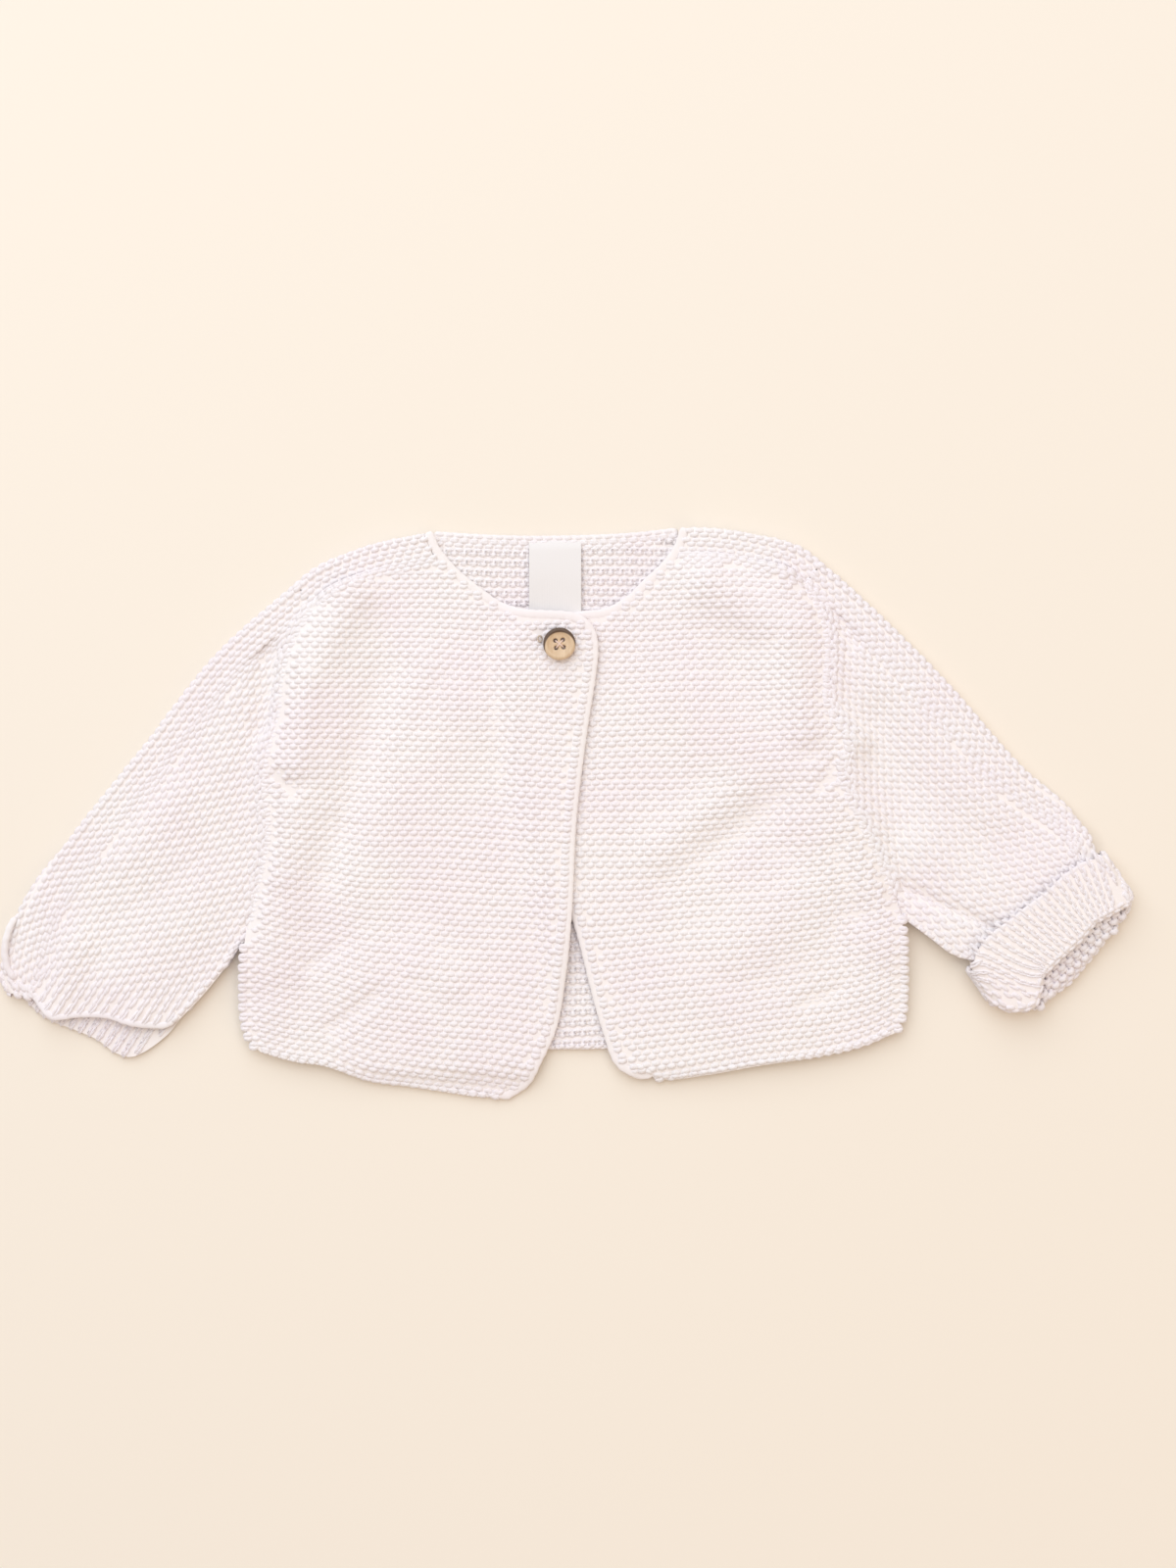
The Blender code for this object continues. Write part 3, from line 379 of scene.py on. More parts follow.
def depth_inside(plan, outline, block=2000):
    """How deep each plan point lies inside a closed outline; negative is outside."""
    flat = plan.reshape(-1, 2)
    run = np.roll(outline, -1, axis=0) - outline
    long = np.maximum((run * run).sum(-1), 1e-12)
    end_y = np.roll(outline[:, 1], -1)
    rise = np.where(run[:, 1] == 0, 1e-12, run[:, 1])
    depth = np.empty(len(flat))
    for first in range(0, len(flat), block):
        points = flat[first:first + block]
        off = points[:, None] - outline[None]
        share = np.clip((off * run).sum(-1) / long, 0.0, 1.0)
        near = np.linalg.norm(off - share[..., None] * run, axis=-1).min(axis=1)
        spans = (outline[:, 1] > points[:, 1:]) != (end_y > points[:, 1:])
        at_x = outline[:, 0] + (points[:, 1:] - outline[:, 1]) * run[:, 0] / rise
        odd = (spans & (points[:, :1] < at_x)).sum(axis=1) % 2
        depth[first:first + block] = np.where(odd == 1, near, -near)
    return depth.reshape(plan.shape[:-1])


# %% [markdown]
# ## The two halves
#
# One line runs up each sleeve's outer fold, over the shoulder and on to the neck, and the overarm seam
# lies inside it. The body's and the sleeve's panels share these lines, so their edges meet.

# %% The lines of a half
# The rows stop short of the shoulder seam, which has a row of its own, and of the sides, which the loops
# turn round, and run on to the edging.
SEAM_ROOM = 1.7
SIDE_ROOM = 1.2
EDGING_OVERLAP = 0.9
COVER_TOP = 0.3                 # share of the shoulder and neck line that closes a front's cover


class Half:
    """The lines of one half of the cardigan: sign -1 is the right half and +1 the left."""

    def __init__(self, table):
        self.__dict__.update(table)
        self.edge = Line(self.edge)
        self.inner_edge = self.edge.shifted(-self.sign * (EDGING + GAP))
        corner = self.inner_edge.nearest(self.top_corner)
        self.centre_edge = self.inner_edge.part(0.0, corner)
        self.centre_line = self.edge.part(0.0, self.edge.nearest(self.top_corner))

        over = Line([*self.sleeve_outer[::-1], *self.shoulder_fold])
        split = np.argmin(np.hypot(*(over.xy - self.sleeve_outer[0]).T))
        up_to = over.share[split]
        sleeve_share = 1.0 - over.share[:split + 1][::-1] / up_to
        shoulder_share = (over.share[split:] - up_to) / (1.0 - up_to)
        wrap = WRAP * (1.0 + self.seam_drift * smoothstep((DRIFT_SHARE - over.share) / DRIFT_SHARE))
        sweep = smoothstep((SWEEP_SHARE - over.share) / SWEEP_SHARE)[:, None] * np.array(self.seam_sweep)
        sleeve_lines, shoulder_lines = [], []
        for distance, swept in ((0.0, 0.0), (FOLD, 0.0), (wrap, sweep), (wrap + GAP, sweep)):
            moved = over.shifted(self.sign * distance).xy + swept
            sleeve_lines.append(Line(moved[:split + 1][::-1], False, sleeve_share))
            shoulder_lines.append(Line(moved[split:], False, shoulder_share))
        self.sleeve_fold, self.sleeve_centre, self.sleeve_wrap, self.sleeve_seam = sleeve_lines
        fold, centre, wrapped, seam = shoulder_lines
        start = PARTING / fold.length
        flap_end = self.edge.shifted(-self.sign * (EDGING + GAP + FLAP_MARGIN))
        self.shoulder_fold = fold.part(start, fold.nearest(flap_end.xy[-1]))
        self.shoulder_centre = centre.part(start, crossing(centre, flap_end)[0])
        self.shoulder_wrap = wrapped.part(start, crossing(wrapped, flap_end)[0])

        seam_end, edge_end = crossing(seam, self.inner_edge)
        self.shoulder_seam = seam.part(0.0, seam_end)
        self.neckline = self.inner_edge.part(corner, edge_end).back()
        self.top = self.shoulder_seam.then(self.neckline)
        self.armhole = Line([*self.armhole, tuple(seam.xy[0])])
        self.armhole_fold = Line([*self.armhole_fold, tuple(seam.xy[0])])
        self.underarm_y = self.side[-1][1]
        self.outlines()

    def outlines(self):
        """The outlines of the front, of what it covers, and of the part of it that has rows of loops."""
        sign = self.sign
        side = Line(self.side)
        self.outer_edge = side.then(self.armhole_fold)
        self.front_hem = Line([*self.hem, tuple(self.centre_edge.xy[0])])
        self.cover = outline_of(Line(self.hem).back(), self.outer_edge, self.top.part(0.0, COVER_TOP),
                                self.edge.back())
        self.loop_outline = outline_of(
            self.front_hem.back(), side.shifted(-sign * SIDE_ROOM), self.armhole_fold,
            self.shoulder_seam.shifted(sign * SEAM_ROOM), self.neckline.shifted(-sign * EDGING_OVERLAP),
            self.centre_edge.shifted(sign * EDGING_OVERLAP).back())


right, left = Half(RIGHT), Half(LEFT)
print(f"sleeve folds: {right.sleeve_fold.length:.0f} and {left.sleeve_fold.length:.0f} mm long")

# %% Heights of the panels


def front_height(plan, half):
    """Height of the middle of a front's cloth: raised where it laps over another layer, low at the hem."""
    from_below = smoothstep((plan[..., 1] - half.underarm_y + LAP_START) / (LAP_START - LAP_FULL))
    past = beside(plan, half.armhole, half.sign)
    lift = smoothstep((past + LAP_MARGIN + LAP_RAMP) / LAP_RAMP) * from_below
    soft = folds(plan, half.folds)
    if half is right:
        past = beside(plan, left.centre_line, 1)
        lift = np.maximum(lift, smoothstep((past + CENTRE_MARGIN + CENTRE_RAMP) / CENTRE_RAMP))
    else:
        # The left front lies flat where the right one covers it.
        past = beside(plan, right.centre_line, 1)
        soft = soft * smoothstep((past - COVERED_MARGIN) / COVERED_RAMP)
    hem = Line(BACK_HEM).xy
    past_hem = np.interp(plan[..., 0], hem[:, 0], hem[:, 1]) - plan[..., 1]
    drop = smoothstep((past_hem - HEM_MARGIN) / HEM_RAMP)
    rise = ((LAYER * lift) ** 3 + soft ** 3) ** (1 / 3)
    return layer(1) + rise * (1 - drop) - LAYER * drop + folds(plan, half.creases)


def over_joint(plan, half, level, inside):
    """The height of a front or a sleeve where its cloth runs on over the armhole fold."""
    place, joint, inner, outer = np.array(half.joint).T
    past = beside(plan, half.armhole_fold, half.sign)
    reach = np.interp(plan[..., 1], place, inner if inside else outer)
    near = 1.0 - smoothstep((-past if inside else past) / reach)
    near = near * smoothstep((plan[..., 1] - half.underarm_y - JOINT_START[0]) / JOINT_START[1])
    return level + near * (np.interp(plan[..., 1], place, joint) - level)


def front_surface(plan, half):
    return over_joint(plan, half, front_height(plan, half), True)


def cuff_rise(plan):
    """How far the left sleeve rises to pass inside its turned-up cuff."""
    start, end = CUFF_RAMP
    return LAYER * smoothstep(((plan - CUFF_ORIGIN) @ CUFF_ALONG - start) / (end - start))


def no_rise(plan):
    return np.zeros(plan.shape[:-1])


def flat_back(plan):
    return np.full(plan.shape[:-1], layer(0))


# %% [markdown]
# ## Camera, floor and light
#
# The garment is seen from straight above. A 50 mm lens at 0.81 m gives a picture 0.58 m high. The floor
# is a plain cream sheet. A big soft light hangs to the upper left and a weaker, warmer one to the lower
# right, so the shadows are short, soft and warm.

# %% Node trees


class Tree:
    """A node tree whose nodes are added one by one."""

    def __init__(self, tree):
        self.tree, self.nodes, self.links = tree, tree.nodes, tree.links

    def feed(self, socket, value):
        """Give an input another node's output, or a value; a colour has three numbers."""
        if isinstance(value, bpy.types.NodeSocket):
            self.links.new(value, socket)
        else:
            socket.default_value = (*value, 1.0) if socket.type == "RGBA" else value

    def set(self, node, **values):
        """Set a node's properties, whose names are in lower case, and feed its inputs."""
        for name, value in values.items():
            if name.islower():
                setattr(node, name, value)
            else:
                self.feed(node.inputs[name.replace("_", " ")], value)
        return node

    def add(self, kind, **values):
        return self.set(self.nodes.new(kind), **values)

    def calc(self, operation, *values, kind="ShaderNodeMath"):
        node = self.add(kind, operation=operation)
        for socket, value in zip(node.inputs, values):
            self.feed(socket, value)
        return node.outputs[0]

    def mixed(self, factor, first, second):
        """A colour between two colours."""
        node = self.add("ShaderNodeMix", data_type="RGBA", Factor=factor)
        self.feed(node.inputs[6], first)
        self.feed(node.inputs[7], second)
        return node.outputs[2]

    def place(self):
        return self.add("ShaderNodeTexCoord").outputs["Object"]

    def noise(self, scale, detail, place=None):
        node = self.add("ShaderNodeTexNoise", Vector=place or self.place(), Scale=scale, Detail=detail)
        return node.outputs["Fac"]

    def bump(self, height, strength, distance):
        node = self.add("ShaderNodeBump", Strength=strength, Distance=distance * MM, Height=height)
        return node.outputs["Normal"]


def new_group(name, kind, inputs, outputs):
    """An empty node group; an input has a default value or the name of its socket's type."""
    types = {float: "NodeSocketFloat", int: "NodeSocketInt", tuple: "NodeSocketColor"}
    made = Tree(bpy.data.node_groups.new(name, kind))
    for socket_name, value in inputs.items():
        socket = made.tree.interface.new_socket(socket_name, in_out="INPUT",
                                                socket_type=types.get(type(value), value))
        if not isinstance(value, str):
            socket.default_value = (*value, 1.0) if isinstance(value, tuple) else value
    for socket_name, socket_type in outputs.items():
        made.tree.interface.new_socket(socket_name, in_out="OUTPUT", socket_type=socket_type)
    made.given = made.nodes.new("NodeGroupInput").outputs
    made.result = made.nodes.new("NodeGroupOutput").inputs
    return made


def new_material(name, colour, roughness, **inputs):
    """A material with its tree of nodes and its shader."""
    made = bpy.data.materials.new(name)
    made.use_nodes = True
    tree = Tree(made.node_tree)
    shader = tree.set(tree.nodes["Principled BSDF"], Base_Color=colour, Roughness=roughness, **inputs)
    return made, tree, shader


def put(name, data, place=(0.0, 0.0, 0.0)):
    """An object in the scene."""
    made = bpy.data.objects.new(name, data)
    made.location = place
    bpy.context.collection.objects.link(made)
    return made


# %% Camera
VIEW_CENTRE = (7.94, 10.76)     # about the origin
VIEW_HEIGHT = 582.4             # length of the picture's long side in the plane of the cloth
LENS = 50.0
SENSOR = 36.0
CLOTH_LEVEL = 4.0               # height of that plane

camera_data = bpy.data.cameras.new("camera")
camera_data.lens = LENS
camera_data.sensor_width = SENSOR
camera_height = VIEW_HEIGHT * LENS / SENSOR + CLOTH_LEVEL
camera = put("camera", camera_data, [value * MM for value in (*VIEW_CENTRE, camera_height)])
bpy.context.scene.camera = camera
print(f"camera {camera.location.z:.3f} m above the floor")

# %% Floor and lights
FLOOR_HALF = 3.0                # metres
FLOOR_LEVEL = -0.2              # millimetres
FLOOR_COLOUR = (0.88, 0.80, 0.70)
WORLD_COLOUR = (0.96, 0.855, 0.77)
WORLD_STRENGTH = 0.60
# name, place in metres, side of its square, watts, colour
LIGHTS = [
    ("window light", (-0.50, 1.16, 1.56), 2.8, 45.5, (0.80, 0.90, 1.0)),
    ("warm side light", (0.95, -0.75, 1.1), 1.4, 3.8, (1.0, 0.74, 0.45)),
]

floor_mesh = bpy.data.meshes.new("floor")
floor_corners = [(x * FLOOR_HALF, y * FLOOR_HALF, 0.0) for x, y in ((-1, -1), (1, -1), (1, 1), (-1, 1))]
floor_mesh.from_pydata(floor_corners, [], [(0, 1, 2, 3)])
floor_mesh.materials.append(new_material("floor paper", FLOOR_COLOUR, 0.9, Specular_IOR_Level=0.1)[0])
floor = put("floor", floor_mesh, (0.0, 0.0, FLOOR_LEVEL * MM))
floor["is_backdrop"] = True

for name, place, side, watts, colour in LIGHTS:
    light_data = bpy.data.lights.new(name, "AREA")
    light_data.shape = "SQUARE"
    light_data.size = side
    light_data.energy = watts
    light_data.color = colour
    light = put(name, light_data, place)
    light.rotation_euler = (-Vector(place)).to_track_quat("-Z", "Y").to_euler()

world = bpy.data.worlds.new("studio")
world.use_nodes = True
Tree(world.node_tree).set(world.node_tree.nodes["Background"], Color=WORLD_COLOUR, Strength=WORLD_STRENGTH)
bpy.context.scene.world = world
bpy.context.scene.view_settings.view_transform = "Standard"
bpy.context.scene.view_settings.look = "None"
print("lights:", ", ".join(row[0] for row in LIGHTS))

# %% [markdown]
# ## Cotton yarn
#
# The yarn is a matt cotton with several plies. Two shader groups make it: one gives a colour that drifts
# a little between rose and ivory, as dyed cotton does, and one gives the height of the plies, which wind
# round each loop. A loop carries its own place on the yarn as an attribute, so the plies follow it.

# %% Shader groups for cotton
tone = new_group("cotton tone", "ShaderNodeTree",
                 {"Rose": (0.9, 0.8, 0.78), "Ivory": (0.9, 0.85, 0.8), "Patch size": 30.0},
                 {"Color": "NodeSocketColor"})
place = tone.place()
broad = tone.noise(tone.given["Patch size"], 1.5, place)
spread = tone.add("ShaderNodeMapRange", Value=broad, From_Min=0.36, From_Max=0.64).outputs["Result"]
speckle = tone.calc("MULTIPLY_ADD", tone.noise(700.0, 2.0, place), 0.35, -0.175)
tone.feed(tone.result["Color"],
          tone.mixed(tone.calc("ADD", spread, speckle), tone.given["Rose"], tone.given["Ivory"]))

plies = new_group("yarn plies", "ShaderNodeTree", {"Plies": 4.0, "Turns": 1.2, "Fibre": 0.35},
                  {"Height": "NodeSocketFloat"})
on_yarn = plies.add("ShaderNodeAttribute", attribute_name="yarn").outputs["Vector"]
parts = plies.add("ShaderNodeSeparateXYZ", Vector=on_yarn).outputs
turn = plies.calc("ARCTAN2", parts["Z"], parts["Y"])
wound = plies.calc("MULTIPLY", plies.calc("MULTIPLY", parts["X"], math.tau), plies.given["Turns"])
ply = plies.calc("SINE", plies.calc("MULTIPLY", plies.calc("ADD", turn, wound), plies.given["Plies"]))
fuzz = plies.calc("MULTIPLY", plies.noise(3500.0, 2.0), plies.given["Fibre"])
plies.feed(plies.result["Height"], plies.calc("ADD", plies.calc("MULTIPLY", ply, 0.25), fuzz))

# %% Cotton materials


def cotton(name, rose, ivory, ply_depth=0.25):
    """A cotton that drifts between two colours; ply_depth is the strength of its plies."""
    made, tree, shader = new_material(name, rose, 0.92, Specular_IOR_Level=0.2, Sheen_Weight=0.18,
                                      Sheen_Roughness=0.6)
    colour = tree.add("ShaderNodeGroup", node_tree=tone.tree, Rose=rose, Ivory=ivory, Patch_size=28.0)
    height = tree.add("ShaderNodeGroup", node_tree=plies.tree, Plies=3.0, Turns=1.1, Fibre=0.4)
    tree.set(shader, Base_Color=colour.outputs["Color"],
             Normal=tree.bump(height.outputs["Height"], ply_depth, 0.25))
    return made


cotton_yarn = cotton("cotton yarn", (0.872, 0.805, 0.825), (0.876, 0.832, 0.832))
edging_yarn = cotton("edging yarn", (0.89, 0.82, 0.82), (0.895, 0.84, 0.825), 0.15)
# The shell behind the loops shows only in the crevices between them. Its colour is the yarn's, made warmer
# and lighter: painted warm light in those crevices.
core_painted_crevice_light = cotton("cloth behind the loops, painted crevice light", (0.90, 0.83, 0.815), (0.905, 0.845, 0.82), 0.1)
sewing_thread = cotton("sewing thread", (0.80, 0.60, 0.52), (0.84, 0.66, 0.58))
# A darker copy of the sewing thread: painted shade, for the ring round the buttonhole's end.
thread_painted_shade = cotton("thread with painted shade", (0.56, 0.46, 0.38), (0.62, 0.51, 0.42))
print("cotton finishes:", ", ".join(made.name for made in (cotton_yarn, edging_yarn, core_painted_crevice_light)))

# %% [markdown]
# ## The loop tree
#
# In garter stitch every ridge shows two kinds of loops: heads that arch up and, half a stitch along,
# loops that arch down. Both are the same bow of yarn turned round, so one instance serves for all. The
# tree bends a short curve into a bow, sweeps a round section along it and puts a copy on every point.
# A point carries the direction of its row, the direction out of the cloth and a size.

# %% Geometry Nodes: loops of yarn


def loop_tree():
    tree = new_group("loops of yarn", "GeometryNodeTree", {
        "Geometry": "NodeSocketGeometry", "Spread": 1.25 * MM, "Head": 0.78 * MM, "Leg": 0.14 * MM,
        "Lean": 0.16 * MM, "Dip": 1.15 * MM, "Yarn radius": YARN * MM, "Steps": 4, "Sides": 6, "Seed": 1,
        "Unevenness": 0.08, "Material": "NodeSocketMaterial"}, {"Geometry": "NodeSocketGeometry"})
    given, add, calc = tree.given, tree.add, tree.calc

    def vector(x, y, z):
        return add("ShaderNodeCombineXYZ", X=x, Y=y, Z=z).outputs[0]

    def captured(curve, name):
        """A curve that keeps the share of its length as an attribute."""
        node = add("GeometryNodeCaptureAttribute")
        node.capture_items.new("FLOAT", name)
        tree.feed(node.inputs["Geometry"], curve)
        tree.feed(node.inputs[name], add("GeometryNodeSplineParameter").outputs["Factor"])
        return node.outputs

    def read(name):
        node = add("GeometryNodeInputNamedAttribute", data_type="FLOAT_VECTOR", Name=name)
        return node.outputs["Attribute"]

    # The bow: t runs from -1 to 1 along it, and the yarn is a little thinner at its ends.
    straight = add("GeometryNodeCurvePrimitiveLine", Start=(-1.0, 0.0, 0.0), End=(1.0, 0.0, 0.0))
    spaced = add("GeometryNodeResampleCurve", Curve=straight.outputs["Curve"],
                 Count=calc("ADD", given["Steps"], 1.0))
    t = add("ShaderNodeSeparateXYZ", Vector=add("GeometryNodeInputPosition").outputs[0]).outputs["X"]
    angle = calc("MULTIPLY", t, math.pi / 2)
    arch = calc("COSINE", angle)
    x = calc("MULTIPLY", calc("SINE", angle), given["Spread"])
    y = calc("MULTIPLY_ADD", arch, given["Head"], given["Leg"])
    lean = calc("MULTIPLY", arch, given["Lean"])
    dip = calc("MULTIPLY", calc("POWER", calc("SUBTRACT", 1.0, arch), 2.0), given["Dip"])
    z = calc("MULTIPLY", calc("ADD", lean, dip), -1.0)
    bow = add("GeometryNodeSetPosition", Geometry=spaced.outputs["Curve"], Position=vector(x, y, z))
    thinner = calc("MULTIPLY_ADD", calc("POWER", t, 4.0), -0.25, 1.0)
    thin = add("GeometryNodeSetCurveRadius", Curve=bow.outputs["Geometry"], Radius=thinner)
    along = captured(thin.outputs["Curve"], "along")
    section = add("GeometryNodeCurvePrimitiveCircle", Resolution=given["Sides"], Radius=given["Yarn radius"])
    around = captured(section.outputs["Curve"], "around")
    swept = add("GeometryNodeCurveToMesh", Curve=along["Geometry"], Profile_Curve=around["Geometry"])
    turned = calc("MULTIPLY", around["around"], math.tau)
    stored = add("GeometryNodeStoreNamedAttribute", data_type="FLOAT_VECTOR", domain="POINT", Name="yarn",
                 Geometry=swept.outputs["Mesh"],
                 Value=vector(along["along"], calc("COSINE", turned), calc("SINE", turned)))

    # The copies, turned to their row and out of the cloth, and a little uneven.
    out = add("FunctionNodeAlignRotationToVector", axis="Z", Vector=read("out"))
    ahead = add("FunctionNodeAlignRotationToVector", axis="X", pivot_axis="Z",
                Rotation=out.outputs["Rotation"], Vector=read("ahead"))
    uneven = add("FunctionNodeRandomValue", data_type="FLOAT_VECTOR", Min=(-1.0, -1.0, -1.0),
                 Max=(1.0, 1.0, 1.0), Seed=given["Seed"])
    wobble = add("ShaderNodeVectorMath", operation="SCALE", Vector=uneven.outputs["Value"],
                 Scale=given["Unevenness"]).outputs["Vector"]
    turned_copy = add("FunctionNodeRotateRotation", rotation_space="LOCAL",
                      Rotation=ahead.outputs["Rotation"], Rotate_By=wobble)
    size = calc("MULTIPLY_ADD", wobble, (0.5, 0.5, 0.5), read("size"), kind="ShaderNodeVectorMath")
    copies = add("GeometryNodeInstanceOnPoints", Points=given["Geometry"],
                 Instance=stored.outputs["Geometry"], Rotation=turned_copy.outputs["Rotation"], Scale=size)
    real = add("GeometryNodeRealizeInstances", Geometry=copies.outputs["Instances"])
    finish = add("GeometryNodeSetMaterial", Geometry=real.outputs["Geometry"], Material=given["Material"])
    tree.feed(tree.result["Geometry"], finish.outputs["Geometry"])
    return tree.tree


LOOPS = loop_tree()
print("loop tree:", len(LOOPS.nodes), "nodes")

# %% Meshes from points
BOW_REACH = 0.85                # how far a bow stands out beside its row


def metres(points):
    """Points in millimetres as coordinates in metres about the origin."""
    return (np.asarray(points, float) - (*CENTRE, 0.0)) * MM


def triangles(piece):
    return sum(len(polygon.vertices) - 2 for polygon in piece.data.polygons)


def plain_object(name, source):
    """What an object with modifiers evaluates to, as a plain mesh; the source is removed."""
    graph = bpy.context.evaluated_depsgraph_get()
    mesh = bpy.data.meshes.new_from_object(source.evaluated_get(graph), preserve_all_data_layers=True,
                                           depsgraph=graph)
    bpy.data.objects.remove(source)
    mesh.name = name
    return put(name, mesh)


def smooth_object(name, shape, finish):
    """An object from a bmesh, smooth and with the normals of a closed form outward."""
    bmesh.ops.recalc_face_normals(shape, faces=shape.faces)
    mesh = bpy.data.meshes.new(name)
    shape.to_mesh(mesh)
    shape.free()
    mesh.materials.append(finish)
    mesh.shade_smooth()
    return put(name, mesh)


def yarn_loops(name, places, sides=6, steps=4, radius=YARN, seed=1):
    """A mesh of loops of yarn; a place is (points, ahead, out, size), the last three also one for all."""
    points, ahead, out, size = (
        np.concatenate([np.broadcast_to(place[i], np.shape(place[0])).reshape(-1, 3) for place in places])
        for i in range(4))
    # Loops near the floor are lifted until they lie on it.
    bow = BOW_REACH * size[:, 1] * np.cross(out, ahead)[:, 2]
    lowest = points[:, 2] + np.minimum(bow, 0.0) - radius * size.max(axis=1)
    points[:, 2] += np.maximum(-lowest, 0.0)
    mesh = bpy.data.meshes.new(name)
    mesh.from_pydata(metres(points).tolist(), [], [])
    for attribute, values in (("ahead", ahead), ("out", out), ("size", size)):
        kept = mesh.attributes.new(attribute, "FLOAT_VECTOR", "POINT")
        kept.data.foreach_set("vector", values.astype(np.float32).ravel())
    seeds = put(name + " places", mesh)
    modifier = seeds.modifiers.new("loops", "NODES")
    modifier.node_group = LOOPS
    inputs = {"Sides": sides, "Steps": steps, "Yarn radius": radius * MM, "Seed": seed,
              "Material": cotton_yarn}
    for item in LOOPS.interface.items_tree:
        if item.in_out == "INPUT" and item.name in inputs:
            modifier[item.identifier] = inputs[item.name]
    made = plain_object(name, seeds)
    made.data.shade_smooth()
    print(f"{name}: {len(points)} loops, {triangles(made)} triangles")
    return made


def cloth(name, grids, wall=CORE, finish=core_painted_crevice_light):
    """A shell of even thickness round grids of points at its middle."""
    shape = bmesh.new()
    for grid in grids:
        points = [[shape.verts.new(point) for point in row] for row in metres(grid)]
        for row, following in zip(points, points[1:]):
            for j in range(len(row) - 1):
                shape.faces.new((row[j], row[j + 1], following[j + 1], following[j]))
    bmesh.ops.remove_doubles(shape, verts=shape.verts, dist=0.01 * MM)
    flat = smooth_object(name, shape, finish)
    thick = flat.modifiers.new("thickness", "SOLIDIFY")
    thick.thickness = wall * MM
    thick.offset = 0.0
    made = plain_object(name, flat)
    made.data.set_sharp_from_angle(angle=math.radians(50))
    return made


def tube(name, runs, finish, sides=8, turn=0.0, power=1.0, closed=False):
    """Tubes in one mesh. A run has a path and, for each of its points, the two half axes of the section.

    A power under 1 flattens the section's top and bottom."""
    shape = bmesh.new()
    angle = math.tau * (np.arange(sides) + turn) / sides
    cosine, sine = np.cos(angle)[:, None], np.sin(angle)[:, None]
    sine = np.sign(sine) * np.abs(sine) ** power
    for path, aside, up in runs:
        skin = path[:, None] + aside[:, None] * cosine + up[:, None] * sine
        rings = [[shape.verts.new(point) for point in ring] for ring in metres(skin)]
        for ring, following in zip(rings, rings[1:] + rings[:1] * closed):
            for k in range(sides):
                after = (k + 1) % sides
                shape.faces.new((ring[k], ring[after], following[after], following[k]))
        if not closed:
            shape.faces.new(rings[0][::-1])
            shape.faces.new(rings[-1])
    return smooth_object(name, shape, finish)


# %% [markdown]
# ## Rows of loops
#
# The rows of the body follow the hem at the bottom and straighten towards the neck. A sleeve's rows run
# along the arm. Each row is a curve in plan; loops are set along it a stitch apart, and those that fall
# outside the panel, or well under another panel, are left out.

# %% Where loops go
SLOPE_STEP = 0.4                # distance over which the slope of a surface is taken
ROW_STEP = 2.0                  # between the places at which a row is held against an outline
END_INSET = 1.1                 # of the loops at a row's two ends, from the outline
END_CLEAR = 0.55                # share of a stitch that the row's other loops keep from those
ROW_MARGINS = (0.9, 0.4)        # how deep inside the outline a loop lies at least, and an end loop
SIZE_LIMITS = (0.8, 1.3)        # of the loops where rows or stitches spread
ROWS_LEVEL = 85.0               # y from which the body's rows are straight
ROWS_POWER = 1.8                # how fast they straighten
# Rows waver: by how much, and the lengths along and across the rows that set the waves.
BODY_WAVES = ((0.45, 23.0, 31.0), (0.3, 9.0, -14.0))
SLEEVE_WAVES = ((0.45, 21.0, 13.0),)
STITCH_WAVES = ((0.5, 40.0, 17.0),)


def on_surface(plan, ahead, height, side=1.0, rise=HEAD_RISE, size=1.0):
    """Places of loops on a surface that is given by its height over the plan.

    side is 1 for loops on the upper side of the cloth and -1 for the lower side."""
    level = height(plan)
    slope_x, slope_y = ((height(plan + step) - height(plan - step)) / (2 * SLOPE_STEP)
                        for step in np.eye(2) * SLOPE_STEP)
    out = unit(np.stack([-slope_x, -slope_y, np.ones_like(level)], axis=-1)) * side
    run = unit(raised(ahead, slope_x * ahead[..., 0] + slope_y * ahead[..., 1]))
    return raised(plan, level) + out * rise, run, out, size


def rows(grain, along, across, outline, covers=(), hidden=4.0, stitch=STITCH, ridge=RIDGE):
    """Plan points, row directions and sizes of the loops inside an outline.

    grain gives the plan points of (along, across) in millimetres. Every row ends in a pair of loops, set
    in from the outline, as a knitted edge does."""
    fine = np.arange(*along, ROW_STEP)
    levels = (np.arange(math.ceil(across[0] / ridge), math.floor(across[1] / ridge)) + 0.5) * ridge
    depths = depth_inside(grain(*np.meshgrid(fine, levels)), outline)
    stitches = np.arange(math.ceil(along[0] / stitch), math.floor(along[1] / stitch))
    found = [[], []]
    for level, depth in zip(levels, depths):
        turns = np.flatnonzero((depth[1:] > 0) != (depth[:-1] > 0))
        if not len(turns):
            continue
        crossed = fine[turns] + ROW_STEP * depth[turns] / (depth[turns] - depth[turns + 1])
        ends = crossed + END_INSET * np.where(depth[turns + 1] > 0, 1.0, -1.0)
        for kind in (0, 1):
            s = (stitches + 0.5 * kind) * stitch
            s = s[np.abs(s[:, None] - ends).min(axis=1) > END_CLEAR * stitch]
            for places, margin in zip((s, ends), ROW_MARGINS):
                found[kind] += [(place, level, margin) for place in places]
    parts = []
    for kind in (0, 1):
        s, r, least = np.array(found[kind]).T
        plan = grain(s, r)
        ahead = grain(s + 0.5, r) - grain(s - 0.5, r)
        wide = np.linalg.norm(ahead, axis=-1)
        high = np.abs(np.cross(ahead, grain(s, r + 0.5) - grain(s, r - 0.5))) / wide
        kept = depth_inside(plan, outline) > least
        for cover in covers:
            kept &= depth_inside(plan, cover) < hidden
        sizes = np.clip(np.stack([wide, high, np.ones_like(wide)], axis=-1), *SIZE_LIMITS)
        parts.append((plan[kept], unit(ahead)[kept] * (1 - 2 * kind), sizes[kept]))
    return (np.concatenate(part) for part in zip(*parts))


def waves(s, r, table):
    return sum(reach * np.sin(s / along + r / across) for reach, along, across in table)


